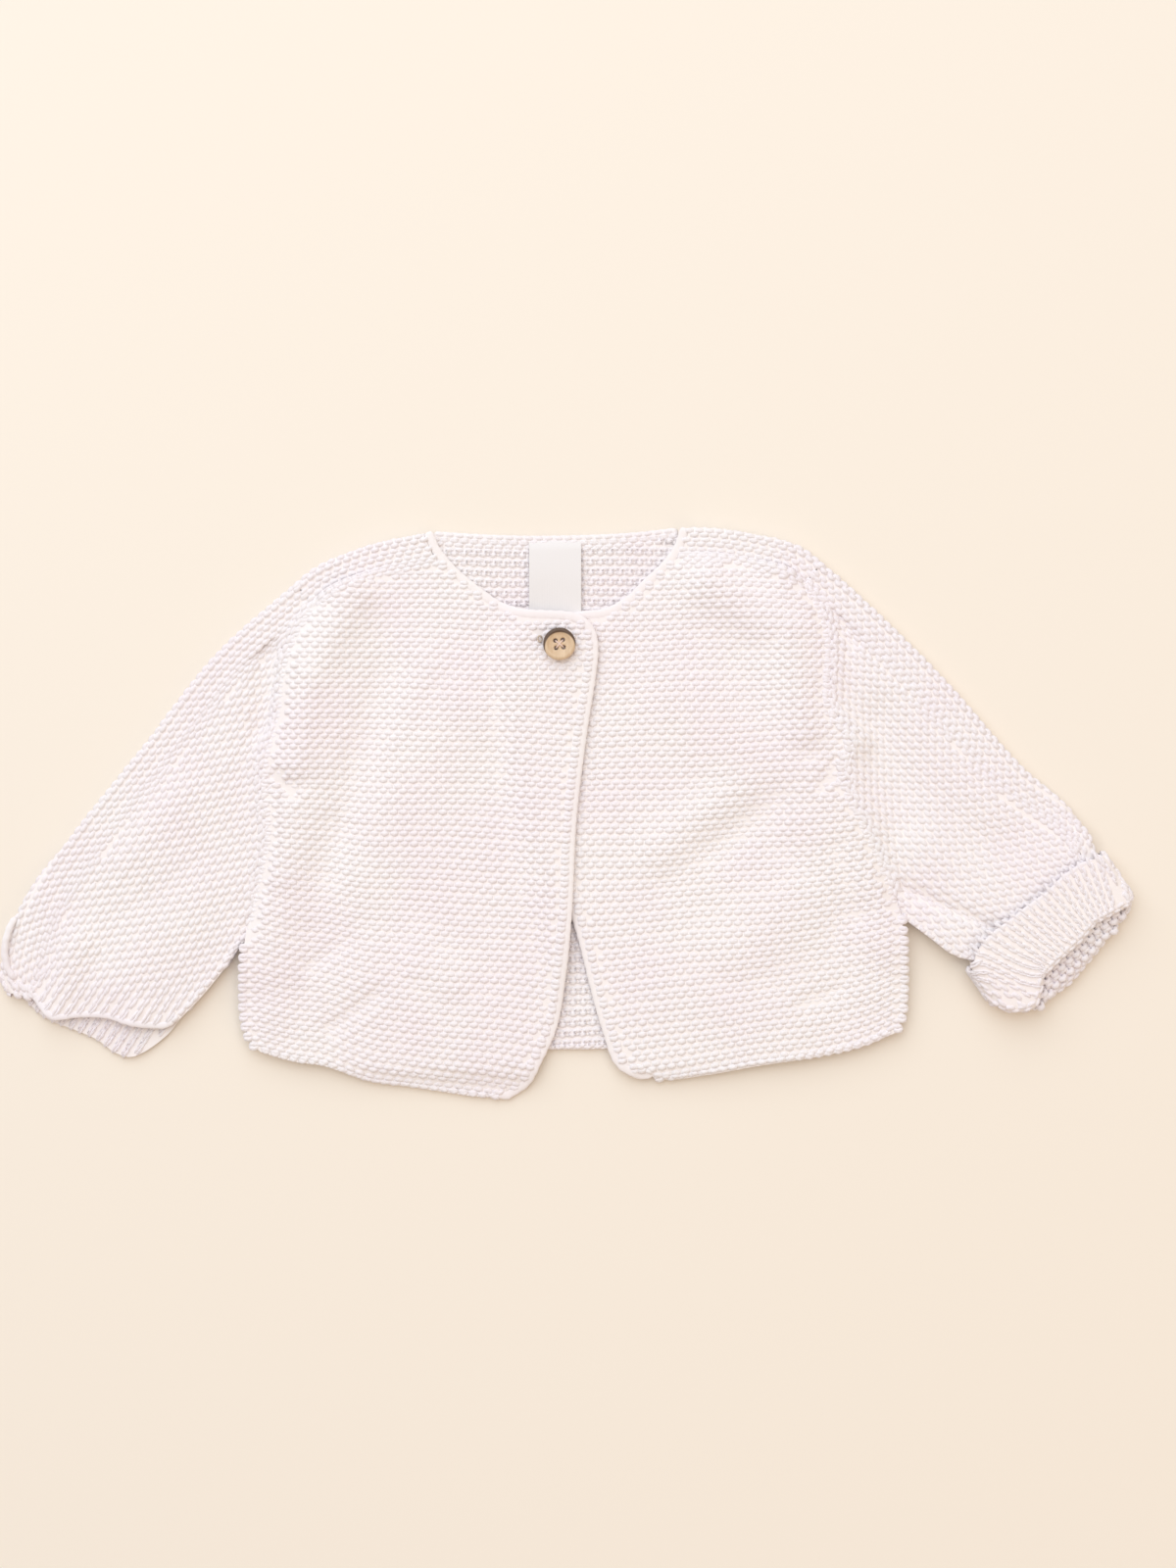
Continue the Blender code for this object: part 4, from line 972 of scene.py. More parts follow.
def hem_grain(hem):
    """Rows that follow a hem and straighten up to a level; r is counted from the hem's high end."""
    line = Line(hem).xy
    line = line[np.argsort(line[:, 0])]
    high = line[:, 1].max()

    def grain(s, r):
        low = np.interp(s, line[:, 0], line[:, 1])
        share = np.clip((ROWS_LEVEL - high - r) / (ROWS_LEVEL - high), 0.0, 1.2) ** ROWS_POWER
        up = high + r + (low - high) * share + waves(s, r, BODY_WAVES)
        return np.stack([s + waves(s, r, STITCH_WAVES), up], axis=-1)
    return grain


def sleeve_grain(points, side, shear):
    """Rows that run along a sleeve, beside a line down the arm; shear sets each row on from the last."""
    line = Line(points)

    def grain(s, r):
        share = (s + shear * r) / line.length
        aside = side * r + waves(s, r, SLEEVE_WAVES)
        return line.at(share) + left_of(line.ahead(share, 0.004)) * aside[..., None]
    return grain


# %% Loops along edges, sides, seams and folds
BODY_FIELD = {"along": (-130.0, 130.0), "across": (0.0, 220.0)}
EDGE_INSET = 1.3                # of the loops along an open edge
SIDE_TURNS = ((40, 0), (-5, 1), (-45, 0))   # loops round a side: tilt in degrees, 1 for one turned round
SEAM_HALVES = ((1.1, HEAD_RISE, 1.0), (-0.25, 0.35, (1.0, 0.6, 0.8)))   # inset, height and size of loops
FOLD_ROWS = 6


def edge_loops(line, height, side, tilts, rise=HEAD_RISE, size=0.9):
    """Loops along an open edge of the cloth; side is the outward side of the line, +1 for its left."""
    count = round(line.length / STITCH)
    share = (np.arange(count) + 0.5) / count
    ahead = line.ahead(share, 0.3 / line.length)
    outward = side * left_of(ahead)
    plan = line.at(share) - EDGE_INSET * outward
    level = np.broadcast_to(height(plan), share.shape)
    places = []
    for number, tilt in enumerate(np.radians(tilts)):
        out = raised(outward * math.cos(tilt), math.sin(tilt))
        points = raised(plan + 0.5 * number * STITCH * ahead, level) + out * rise
        places.append((points, (1 - 2 * (number % 2)) * raised(ahead, 0.0), out, size))
    return places


def side_loops(line, height, low, size=0.92):
    """Loops of the ridges that turn round a side of the body, from the front to the back."""
    line_y = line.xy[:, 1]
    level = low + (np.arange(40) + 0.5) * RIDGE
    level = level[(level > line_y.min() + 1.0) & (level < line_y.max())]
    share = np.interp(level, line_y, line.share)
    middle = line.at(share)
    outward = -left_of(line.ahead(share, 0.02)) * np.sign(middle[:, :1])
    radius = (height(middle - 2.0 * outward) - layer(0)) / 2
    start = raised(middle - 1.9 * outward, layer(0) + radius)
    places = []
    for degrees, kind in SIDE_TURNS:
        tilt = math.radians(degrees)
        out = raised(outward * math.cos(tilt), math.sin(tilt))
        ahead = raised(outward * -math.sin(tilt), math.cos(tilt)) * (1 - 2 * kind)
        places.append((start + out * (0.5 * radius[:, None] - 0.2), ahead, out, size))
    return places


def seam_loops(line, height, inset, rise=HEAD_RISE, size=1.0):
    """A row of loops along a seam."""
    row = line.shifted(inset)
    count = round(row.length / STITCH)
    places = []
    for kind in (0, 1):
        share = (np.arange(count) + 0.25 + 0.5 * kind) / count
        ahead = row.ahead(share, 0.01) * (1 - 2 * kind)
        places.append(on_surface(row.at(share), ahead, height, rise=rise, size=size))
    return places


def sewn(line, height, side):
    """The row of loops beside a seam, and the seaming yarn that closes it."""
    return [place for inset, rise, size in SEAM_HALVES
            for place in seam_loops(line, height, side * inset, rise, size)]


def corner_loops(outer, seam):
    """Loops over the place where two folded pieces meet, from the outer fold to the seam."""
    # distance from the fold, tilt out of the plan in degrees, direction of the loop
    stops = np.array([(1.3, 40, 1), (3.2, 70, -1), (5.4, 90, 1), (7.4, 90, -1), (9.4, 90, 1)])
    outward = unit(outer - seam)
    tilt = np.radians(stops[:, 1:2])
    plan = outer - outward * stops[:, :1]
    level = FOLD + FOLD_LINE * np.sin(tilt[:, 0])
    out = np.concatenate([outward * np.cos(tilt), np.sin(tilt)], axis=-1)
    return raised(plan, level) + out * HEAD_RISE, np.array((*left_of(outward), 0.0)) * stops[:, 2:], out, 1.0


def fold_loops(outer_line, seam_line, lift):
    """Loops in rows along a flat fold; the rows are counted from the seam, over the fold and below it."""
    count = round(outer_line.length / STITCH)
    places = []
    for number in range(FOLD_ROWS):
        for kind in (0, 1):
            share = (np.arange(count) + 0.1 + 0.5 * kind) / (count - 0.3)
            outer, seam = outer_line.at(share), seam_line.at(share)
            outward = unit(outer - seam)
            length = np.linalg.norm(outer - seam, axis=-1) - FOLD + math.pi * FOLD_LINE
            run = length + 0.6 - (number + 0.5) * RIDGE
            kept = run > 0.3
            run, centre, outward = run[kept, None], (outer - FOLD * outward)[kept], outward[kept]
            angle = np.minimum(run / FOLD_LINE - math.pi / 2, math.pi / 2)
            flat = np.maximum(run - math.pi * FOLD_LINE, 0.0)
            plan = centre + outward * (FOLD_LINE * np.cos(angle) - flat)
            level = FOLD + FOLD_LINE * np.sin(angle[:, 0]) + lift(plan)
            out = unit(np.concatenate([outward * np.cos(angle), np.sin(angle)], axis=-1))
            ahead = unit(np.gradient(outer, axis=0))[kept] * (1 - 2 * kind)
            places.append((raised(plan, level) + out * HEAD_RISE, raised(ahead, 0.0), out, 1.0))
    return places


def fold_over(outer, seam, start, steps=7):
    """Cloth that turns up round a flat fold and comes forward to a seam: a grid from below to above."""
    out = unit(outer - seam)
    centre = outer - FOLD * out
    grid = [start]
    for angle in np.linspace(-math.pi / 2, math.pi / 2, steps + 1)[1:]:
        grid.append(raised(centre + FOLD_LINE * math.cos(angle) * out, FOLD + FOLD_LINE * math.sin(angle)))
    for share in (0.35, 0.7, 1.0):
        grid.append(raised(centre + share * (seam - centre), FOLD + FOLD_LINE))
    return np.array(grid)


# %% [markdown]
# ## The fronts
#
# Each front is one thin shell with loops of yarn on its upper side. Its lower side lies on the back and
# doesn't show. Where the left front lies well under the right one it has no loops.

# %% The two fronts
BUTTONHOLE = (-9.6, 64.0)       # its end that shows beside the button
BUTTONHOLE_CLEAR = 1.7          # no loops within this distance of it
pieces_of = {}                  # for each cloth node: its shell, and the loops and rims that go with it


def front(name, half, grain_end, covers, seed):
    def height(plan):
        return front_surface(plan, half)

    plan = patch(half.front_hem, half.top, half.outer_edge, half.centre_edge, shares(half.top.length),
                 shares(half.centre_edge.length))
    shell = cloth("cloth_" + name, [raised(plan, height(plan))])
    grain = hem_grain(half.hem[:-1] + grain_end)
    plan, ahead, sizes = rows(grain, outline=half.loop_outline, covers=covers, **BODY_FIELD)
    clear = np.hypot(*(plan - BUTTONHOLE).T) > BUTTONHOLE_CLEAR
    places = [on_surface(plan[clear], ahead[clear], height, size=sizes[clear])]
    places += side_loops(Line(half.side), height, max(point[1] for point in half.hem))
    places += sewn(half.shoulder_seam, height, half.sign)
    places += edge_loops(half.front_hem, height, half.sign, (-25, 25))
    pieces_of[name] = [shell, yarn_loops("stitches_" + name, places, seed=seed)]


front("front_right", right, [(20, -115)], (), 11)
front("front_left", left, [(25, -103), (-20, -110)], (right.cover,), 12)

# %% [markdown]
# ## The back
#
# The back lies on the floor. At the shoulders it turns up round a flat fold and comes forward to the
# overarm seam. Its inside shows in the neck and between the lower ends of the fronts, and its outside
# from below.

# %% The back
for half, corner in ((right, BACK_HEM[0]), (left, BACK_HEM[-1])):
    parting = half.armhole.shifted(half.sign * PARTING)
    side = Line([corner, *half.side[1:-1], tuple(parting.xy[0])])
    half.back_edge = side.then(parting).to(half.shoulder_centre.xy[0])
hem, back_neck = Line(BACK_HEM), Line(BACK_NECK).shifted(-(EDGING + GAP))


def back_top(neck):
    return right.shoulder_centre.then(neck).then(left.shoulder_centre.back())


def back_outline(neck):
    return outline_of(hem, left.back_edge, back_top(neck).back(), right.back_edge.back())


top = back_top(back_neck)
right_end = right.shoulder_centre.length / top.length
left_start = 1.0 - left.shoulder_centre.length / top.length
over_right = right_end * shares(right.shoulder_centre.length)
over_left = 1.0 - (1.0 - left_start) * shares(left.shoulder_centre.length)[::-1]
between = np.linspace(right_end, left_start, round(back_neck.length / CELL) + 1)[1:-1]
u = np.concatenate([over_right, between, over_left])
grid = raised(patch(hem, top, right.back_edge, left.back_edge, u, shares(right.back_edge.length)), layer(0))
flaps = []
for half, share, start in ((right, over_right / right_end, grid[-1, :len(over_right)]),
                           (left, (1.0 - over_left) / (1.0 - left_start), grid[-1, -len(over_left):])):
    flaps.append(fold_over(half.shoulder_fold.at(share), half.shoulder_wrap.at(share), start))
cloth_back = cloth("cloth_back", [grid, *flaps])

back_grain = hem_grain(BACK_HEM)
plan, ahead, sizes = rows(back_grain, outline=back_outline(back_neck.shifted(-1.6)),
                          covers=(right.cover, left.cover), **BODY_FIELD)
inside = [on_surface(plan, ahead, flat_back, size=sizes)]
inside += seam_loops(back_neck, flat_back, -0.6)
inside += seam_loops(Line(BACK_NECK).part(0.02, 0.98), flat_back, -1.9, rise=0.6, size=0.95)
inside += fold_loops(right.shoulder_fold, right.shoulder_wrap, no_rise)
inside += fold_loops(left.shoulder_fold, left.shoulder_wrap, no_rise)
inside += edge_loops(hem, flat_back, -1, (-10, 25))
plan, ahead, sizes = rows(back_grain, outline=back_outline(back_neck), **BODY_FIELD)
below = [on_surface(plan, ahead, flat_back, side=-1.0, rise=UNDER_RISE, size=sizes)]
pieces_of["back"] = [cloth_back, yarn_loops("stitches_back_inside", inside, seed=13),
                     yarn_loops("stitches_back_outside", below, seed=14, **HIDDEN_LOOP)]

# %% [markdown]
# ## The sleeves
#
# A sleeve lies flat in two halves. Its lower half wraps forward over the outer fold to the overarm seam,
# and its ridges run down the arm.

# %% The two sleeves
RIB_CHANGE = (0.5, -0.34, 0.15)  # in width, height and thickness of a loop that becomes part of a rib
TUCK = 1.2                      # past the armhole fold up to here a sleeve's cloth keeps below the front,
TUCK_DEPTH = 1.1                # by this much
FADE = (2.0, 18.0)              # past that fold: where a sleeve's own folds start, and the length they take
EDGE_FADE = 14.0                # the same length from its lower edge and its seam
SLEEVE_FIELD = {"along": (-60.0, 340.0), "across": (-160.0, 160.0)}


def wrist_ribs(plan, end, gauge, reach):
    """Sizes of loops that draw out into smooth ribs towards the end of a sleeve."""
    near = 1.0 - far_from(plan, end, reach)[..., None]
    return np.array((gauge[0] / STITCH, gauge[1] / RIDGE, 1.0)) * (1.0 + near * RIB_CHANGE)


def sleeve(name, half, rise, ends, grain, shear, gauge, rib_reach, seed):
    """Both halves of a sleeve.

    ends is how far the rows stop short of the wrist in front and behind; grain, shear and gauge lay out
    the rows, whose loops become ribs within rib_reach of the wrist."""
    lower = Line(half.sleeve_lower)
    v = shares(half.sleeve_fold.length)
    front_end = Line([*half.mouth_front, tuple(half.sleeve_seam.xy[-1])])
    back_end = Line([*half.mouth_back, tuple(half.sleeve_centre.xy[-1])])
    back_start = half.armhole.to(half.sleeve_centre.xy[0])
    near_seam = half.sleeve_seam.shifted(-half.sign * 1.5)
    front_short, back_short = (end.shifted(half.sign * short).back()
                               for end, short in zip((front_end, back_end), ends))
    front_outline = outline_of(half.armhole, half.sleeve_seam, front_end.back(), lower.back())
    row_outline = outline_of(half.armhole, near_seam, front_short, lower.back())
    lower_outline = outline_of(back_start, half.sleeve_centre, back_short, lower.back())

    def upper(plan):
        clear = smoothstep((beside(plan, half.armhole_fold, half.sign) - FADE[0]) / FADE[1])
        clear = clear * far_from(plan, lower, EDGE_FADE) * far_from(plan, half.sleeve_seam, EDGE_FADE)
        level = layer(1) + rise(plan) + folds(plan, half.sleeve_folds) * clear * (1.0 - rise(plan) / LAYER)
        return over_joint(plan, half, level + folds(plan, half.sleeve_creases), False)

    def upper_cloth(plan):
        """The same, but below the front where that lies over it."""
        hidden = beside(plan, half.armhole_fold, half.sign) < TUCK
        return np.where(hidden, np.minimum(upper(plan), front_surface(plan, half) - TUCK_DEPTH), upper(plan))

    def under(plan):
        return layer(0) + rise(plan)

    plan = patch(back_start, back_end, lower, half.sleeve_centre, shares(back_start.length), v)
    grid = raised(plan, under(plan))
    flap = fold_over(half.sleeve_fold.at(v), half.sleeve_wrap.at(v), grid[:, -1])
    flap[1:, :, 2] += rise(flap[1:, :, :2])
    back_cloth = cloth(f"cloth_{name}_back", [grid, flap])
    plan = patch(half.armhole, front_end, lower, half.sleeve_seam, shares(half.armhole.length), v)
    front_cloth = cloth(f"cloth_{name}_front", [raised(plan, upper_cloth(plan))])

    field = {"grain": sleeve_grain(grain, half.sign, shear), "stitch": gauge[0], "ridge": gauge[1],
             **SLEEVE_FIELD}
    plan, ahead, sizes = rows(outline=row_outline, covers=(half.cover,), hidden=2.5, **field)
    places = [on_surface(plan, ahead, upper, size=sizes * wrist_ribs(plan, front_end, gauge, rib_reach))]
    places += sewn(half.sleeve_seam, upper, -half.sign)
    places += seam_loops(half.armhole_fold.part(0.06, 1.0), upper, -half.sign * 1.2)
    places.append(corner_loops(half.sleeve_fold.xy[0], half.sleeve_seam.xy[0]))
    places += edge_loops(lower, upper, -half.sign, (-15, 25))
    pieces_of[name + "_front"] = [front_cloth, yarn_loops(f"stitches_{name}_front", places, seed=seed)]
    plan, ahead, sizes = rows(outline=lower_outline, covers=(front_outline,), hidden=2.0, **field)
    places = [on_surface(plan, ahead, under, size=sizes * wrist_ribs(plan, back_end, gauge, rib_reach))]
    places += fold_loops(half.sleeve_fold, half.sleeve_wrap, rise)
    back_loops = yarn_loops(f"stitches_{name}_back", places, seed=seed + 1)
    plan, ahead, sizes = rows(outline=lower_outline, **field)
    places = [on_surface(plan, ahead, under, side=-1.0, rise=UNDER_RISE, size=sizes)]
    places += edge_loops(lower, under, -half.sign, (-5, 20))
    under_loops = yarn_loops(f"stitches_{name}_outside", places, seed=seed + 2, **HIDDEN_LOOP)
    pieces_of[name + "_back"] = [back_cloth, back_loops, under_loops]
    half.upper, half.front_end = upper, front_end


sleeve("sleeve_right", right, no_rise, (2.2, 1.4), [(-60, 118), (-140.5, -8.5), (-221, -135)], -0.24,
       (3.96, 3.57), 20.0, 21)
sleeve("sleeve_left", left, cuff_rise, (0.0, 0.0), [(60, 105), (125, 36), (160, 5), (200, -22), (245, -48)],
       0.08, (3.7, 3.65), 1.0, 31)

# %% [markdown]
# ## The turned-up cuff
#
# The left sleeve's end is turned up. It is a flattened ring round the sleeve whose cloth turns in at the
# mouth, and its ribs run down the arm.

# %% The form of the cuff
CUFF_OUTER = 1.5 * LAYER
CUFF_STRAIGHT = CUFF_CENTRES[1] - CUFF_CENTRES[0]
CUFF_STOPS = np.cumsum([0.0, CUFF_STRAIGHT, math.pi * CUFF_OUTER, CUFF_STRAIGHT, math.pi * CUFF_OUTER])
CUFF_RING = CUFF_STOPS[-1]
PAST = 10.0                     # length for each unit that "down" goes on past the mouth's fold
# place round the ring, and how far a rib there leans for each millimetre down it
RIB_FAN = ((0.0, 3.3, 21.3, 41.3, 56.0, 66.0, 80.0), (0.28, 0.25, -0.14, -0.38, -0.62, -0.4, 0.0))
CUFF_RIB = 2.95                 # distance between the ribs
CUFF_SEAM = (-7.9, 9.7)         # the seam's place round the ring at the turned edge, and its drift
SEAM_CLEAR = (-3.2, 1.0)        # ribs stop this far before and after the seam
RIB_LEVEL = 0.45                # share of the way down at which the fanned ribs are evenly spaced
RIB_SIZE = (1.3, 0.6, 1.05)     # of its loops
LUMP_SIZE = (0.92, 1.4, 1.25)   # and of those that show inside the mouth
RING_CELLS = 52
# the rings of the cuff's cloth: down to the mouth, round its fold and up inside
CUFF_DOWNS = (*np.linspace(0.0, 1.0, 11), 1.07, 1.14, 1.21, 1.28, 1.35, 1.424, 1.58, 1.7)


def cuff_place(ring):
    """Middle and angle of a place round the ring, and where its cloth starts and turns in."""
    low, high = CUFF_CENTRES
    ring = ring % CUFF_RING
    middle = np.interp(ring, CUFF_STOPS, (high, low, low, high, high))
    angle = np.interp(ring, CUFF_STOPS, np.array((0.5, 0.5, 1.5, 1.5, 2.5)) * math.pi)
    forward = (1 + np.sin(angle)) / 2
    reach = middle + CUFF_OUTER * np.cos(angle)
    mouth = forward * cuff_column(FRONT_MOUTH, reach) + (1 - forward) * cuff_column(BACK_MOUTH, reach) - FOLD
    return middle, angle, cuff_column(TURNED_EDGE, reach), mouth


def cuff_point(ring, down):
    """Point at a length round the ring; down runs from 0 at the turned edge to 1 at the mouth and on."""
    middle, angle, edge, mouth = cuff_place(ring)
    past = np.maximum(down - 1.0, 0.0) * PAST
    turned = math.pi / 2 - np.minimum(past, math.pi * FOLD_LINE) / FOLD_LINE
    radius = LAYER + FOLD_LINE * np.sin(turned)
    along = (edge + np.minimum(down, 1.0) * (mouth - edge) + FOLD_LINE * np.cos(turned)
             - np.maximum(past - math.pi * FOLD_LINE, 0.0))
    across = middle + radius * np.cos(angle)
    plan = CUFF_ORIGIN + along[..., None] * CUFF_ALONG + across[..., None] * CUFF_ACROSS
    return raised(plan, layer(0) + CUFF_OUTER + radius * np.sin(angle))


def rib_place(rib, down):
    """Where a rib has got to round the ring; the ribs fan out towards the cuff's lower end."""
    slope = np.interp(rib % CUFF_RING, *RIB_FAN)
    edge, mouth = cuff_place(np.asarray(rib, float))[2:]
    return rib + slope * (np.clip(down, 0.0, 1.0) - RIB_LEVEL) * (mouth - edge)


def cuff_loops(rib, down, kind, straight=False, rise=0.7, size=RIB_SIZE):
    """Loops on the cuff: down its ribs, or straight round the ring."""
    ring = rib if straight else rib_place(rib, down)
    aside = cuff_point(ring + 0.3, down) - cuff_point(ring - 0.3, down)
    onward = cuff_point(ring, down + 0.01) - cuff_point(ring, down - 0.01)
    out = unit(np.cross(aside, onward))
    sizes = np.tile(size, (len(out), 1))
    if straight:
        ahead = unit(aside)
    else:
        ahead = unit(cuff_point(rib_place(rib, down + 0.01), down + 0.01)
                     - cuff_point(rib_place(rib, down - 0.01), down - 0.01))
        sizes[:, 1] *= np.clip(rib_place(rib + 0.5, down) - rib_place(rib - 0.5, down), 0.8, 1.7)
    return cuff_point(ring, down) + out * rise, ahead * (1 - 2 * kind), out, sizes


ring = np.linspace(0.0, CUFF_RING, RING_CELLS + 1)
grid = np.array([cuff_point(ring, np.full(ring.shape, down)) for down in CUFF_DOWNS])
cloth_cuff = cloth("cloth_cuff_left", [grid])

# %% The loops of the cuff
cuff_places = []
ribs = round(CUFF_RING / CUFF_RIB)
for number in range(ribs):
    for kind in (0, 1):
        rib = (number + 0.5) * CUFF_RING / ribs
        edge, mouth = cuff_place(np.array(rib))[2:]
        along = (np.arange(-8, 12) + 0.5 * kind) * STITCH
        along = along[(along > edge - 0.6) & (along < mouth - 0.2)]
        down = (along - edge) / (mouth - edge)
        from_seam = rib_place(np.full(down.shape, rib), down) - CUFF_SEAM[0] - CUFF_SEAM[1] * down
        from_seam = (from_seam + CUFF_RING / 2) % CUFF_RING - CUFF_RING / 2
        down = down[(from_seam > SEAM_CLEAR[1]) | (from_seam < SEAM_CLEAR[0])]
        cuff_places.append(cuff_loops(np.full(down.shape, rib), down, kind))
# The seam has a row of loops on its outer side, and the mouth has ridges round it.
down = (np.arange(7) + 0.5) / 7
cuff_places.append(cuff_loops(CUFF_SEAM[0] + CUFF_SEAM[1] * down - 1.9, down, 0, size=(1.2, 1.1, 1.0)))
ring_stitches = round(CUFF_RING / STITCH)
for down, rise in ((1.06, 0.5), (1.34, 0.6), (1.66, 0.6)):
    for kind in (0, 1):
        ring = (np.arange(ring_stitches) + 0.5 * kind) * CUFF_RING / ring_stitches
        cuff_places.append(cuff_loops(ring, np.full(ring.shape, down), kind, True, rise, (1.0, 0.9, 1.0)))
# Inside the mouth the ends of the back's ridges show as two rows of lumps.
for number, beyond in enumerate((1.3, 4.6)):
    for kind in (0, 1):
        across = np.arange(-31.0, 20.0, STITCH) + 0.5 * STITCH * ((kind + number) % 2)
        along = cuff_column(FRONT_MOUTH, across) + beyond
        seen = along < cuff_column(BACK_MOUTH, across) - 1.2
        lumps = CUFF_ORIGIN + along[seen, None] * CUFF_ALONG + across[seen, None] * CUFF_ACROSS
        ahead = (*CUFF_ACROSS * (1 - 2 * kind), 0.0)
        cuff_places.append((raised(lumps, layer(2) - 0.3 - 0.5 * number), ahead, (0.0, 0.0, 1.0), LUMP_SIZE))
pieces_of["cuff_left"] = [cloth_cuff, yarn_loops("stitches_cuff_left", cuff_places, radius=0.9, seed=41)]

# %% [markdown]
# ## Edging, button and label
#
# The edging is a narrow smooth band, firmer than the knit. The button is turned from wood; its four
# holes are countersunk and sewn through. The label is a plain woven tape.

# %% Edging and rims
BAND_SIDES = 12
BAND_FLATNESS = 0.55            # power that flattens the top and bottom of a band's section
BAND_CELL = 0.9                 # distance between the rings of a band
BAND_END = (0.55, 2.5)          # share of its size at its ends, and the length over which it grows
BAND_SWELL = ((0.05, STITCH / math.tau), (0.02, 7.0))   # it swells by this share over this length
SHOULDER_TOP = (90.0, 6.0)      # y where the edging sinks to the layer of the seam, and over what length


def band(name, path, width, height, finish):
    """A soft band with an oval section along a path of points, with closed ends."""
    aside = raised(left_of(unit(np.gradient(path[:, :2], axis=0))), 0.0)
    run = np.concatenate([[0.0], np.cumsum(np.linalg.norm(np.diff(path, axis=0), axis=-1))])
    ends = np.minimum(1.0, BAND_END[0] + np.minimum(run, run[-1] - run) / BAND_END[1])
    swell = ends * (1.0 + sum(share * np.sin(run / length) for share, length in BAND_SWELL))
    half_wide = aside * (width / 2 * swell)[:, None]
    half_high = np.array((0.0, 0.0, height / 2)) * swell[:, None]
    return tube(name, [(path, half_wide, half_high)], finish, BAND_SIDES, 0.5, BAND_FLATNESS)


def front_edging(name, half, corner):
    """The edging of a front; it starts with a turn round the corner at the hem."""
    middle = half.edge.shifted(-half.sign * (EDGING / 2 + GAP))
    turn = Line([*corner, tuple(middle.xy[0])]).at(shares(6.0, BAND_CELL))[:-1]
    steps = shares(middle.length, BAND_CELL)
    plan = np.concatenate([turn, middle.at(steps)])
    inner = np.concatenate([turn, half.inner_edge.at(steps)])
    over = smoothstep((plan[:, 1] - SHOULDER_TOP[0]) / SHOULDER_TOP[1])
    level = front_height(inner, half) * (1 - over) + layer(1) * over
    return band(name, raised(plan, level - 0.1), EDGING + 2 * GAP, WALL - 0.6, edging_yarn)


edging_right = front_edging("band_right", right, [(-27, -104.7), (-24.4, -105.6)])
edging_left = front_edging("band_left", left, [(31.6, -97.4), (28.4, -98.1)])
neck_middle = Line(BACK_NECK).shifted(-EDGING / 2 - GAP)
edging_back = band("band_back", raised(neck_middle.at(np.linspace(0.005, 0.99, 90)), layer(0)),
                   EDGING + 2 * GAP, WALL - 0.5, edging_yarn)
# The smooth rim of the right wrist, from the underarm to the outer fold and round it.
rim_plan = right.front_end.shifted(-0.9).at(np.linspace(0.02, 1.0, 70))
rim = raised(rim_plan, right.upper(rim_plan) + 0.2)
onward = np.linspace(0.08, 1.0, 16)[:, None]
round_fold = rim[-1, :2] + onward * (right.sleeve_fold.xy[-1] + (1.6, 1.0) - rim[-1, :2])
rim = np.concatenate([rim, raised(round_fold, rim[-1, 2] + onward[:, 0] ** 2 * (3.0 - rim[-1, 2]))])
pieces_of["sleeve_right_front"].append(band("rim_wrist_right", rim, 2.6, 2.0, cotton_yarn))
# The turned edge of the cuff is a smooth lip.
lip = cuff_point(np.linspace(1.0, 52.0, 60), np.full(60, 0.02)) + (0.0, 0.0, 0.1)
pieces_of["cuff_left"].append(band("rim_cuff_left", lip, 1.8, 1.5, cotton_yarn))
# The corner of the wrist rolls over, as a narrow roll on the outer fold: x, y, height.
CORNER_ROLL = np.array([(-204.6, -39.5, 4.9), (-206.4, -43, 5.8), (-207.9, -48, 6.1), (-208.4, -53, 5.6),
                        (-207.6, -58, 5), (-205, -62.5, 4.6)])
stops = np.arange(len(CORNER_ROLL))
at = np.linspace(0, stops[-1], 36)
roll = np.stack([np.interp(at, stops, column) for column in CORNER_ROLL.T], axis=-1)
pieces_of["sleeve_right_back"].append(band("roll_wrist_right", roll, 2.5, 2.2, cotton_yarn))
print("edging:", ", ".join(piece.name for piece in (edging_right, edging_left, edging_back)))

# %% The button
BUTTON_CENTRE = (-2.7, 61.7)
# radius, height of the top, height of the underside
BUTTON_PROFILE = [(0.0, 1.62, 0.0), (2.6, 1.64, 0.0), (3.4, 1.75, 0.0), (3.9, 2.0, 0.0), (4.3, 2.38, 0.0),
                  (4.7, 2.57, 0.05), (5.15, 2.6, 0.2), (5.5, 2.5, 0.42), (5.8, 2.25, 0.7), (6.0, 1.8, 1.0)]
BUTTON_HOLE_RADIUS = 0.8
BUTTON_HOLE_OFFSET = 1.95       # of each hole from the middle
BUTTON_TURN = math.radians(6.0)
COUNTERSINK = 0.22              # width of the bevel round a hole
BEVEL_DEPTHS = (0.22, -0.15)    # how far the holes' edges sink on top, and rise on the underside
HOLE_SLACK = 0.03               # share of the radius by which flat sides cut into a hole
BUTTON_BASE = layer(2) + WALL / 2 + GAP


def circle(centre, radius, count, turn=0.0):
    angles = [turn + math.tau * k / count for k in range(count)]
    return [(centre[0] + radius * math.cos(a), centre[1] + radius * math.sin(a)) for a in angles]


def to_hole(point):
    """How far a point of the button lies outside its nearest hole."""
    return min((point - Vector(hole)).length for hole in holes) - BUTTON_HOLE_RADIUS


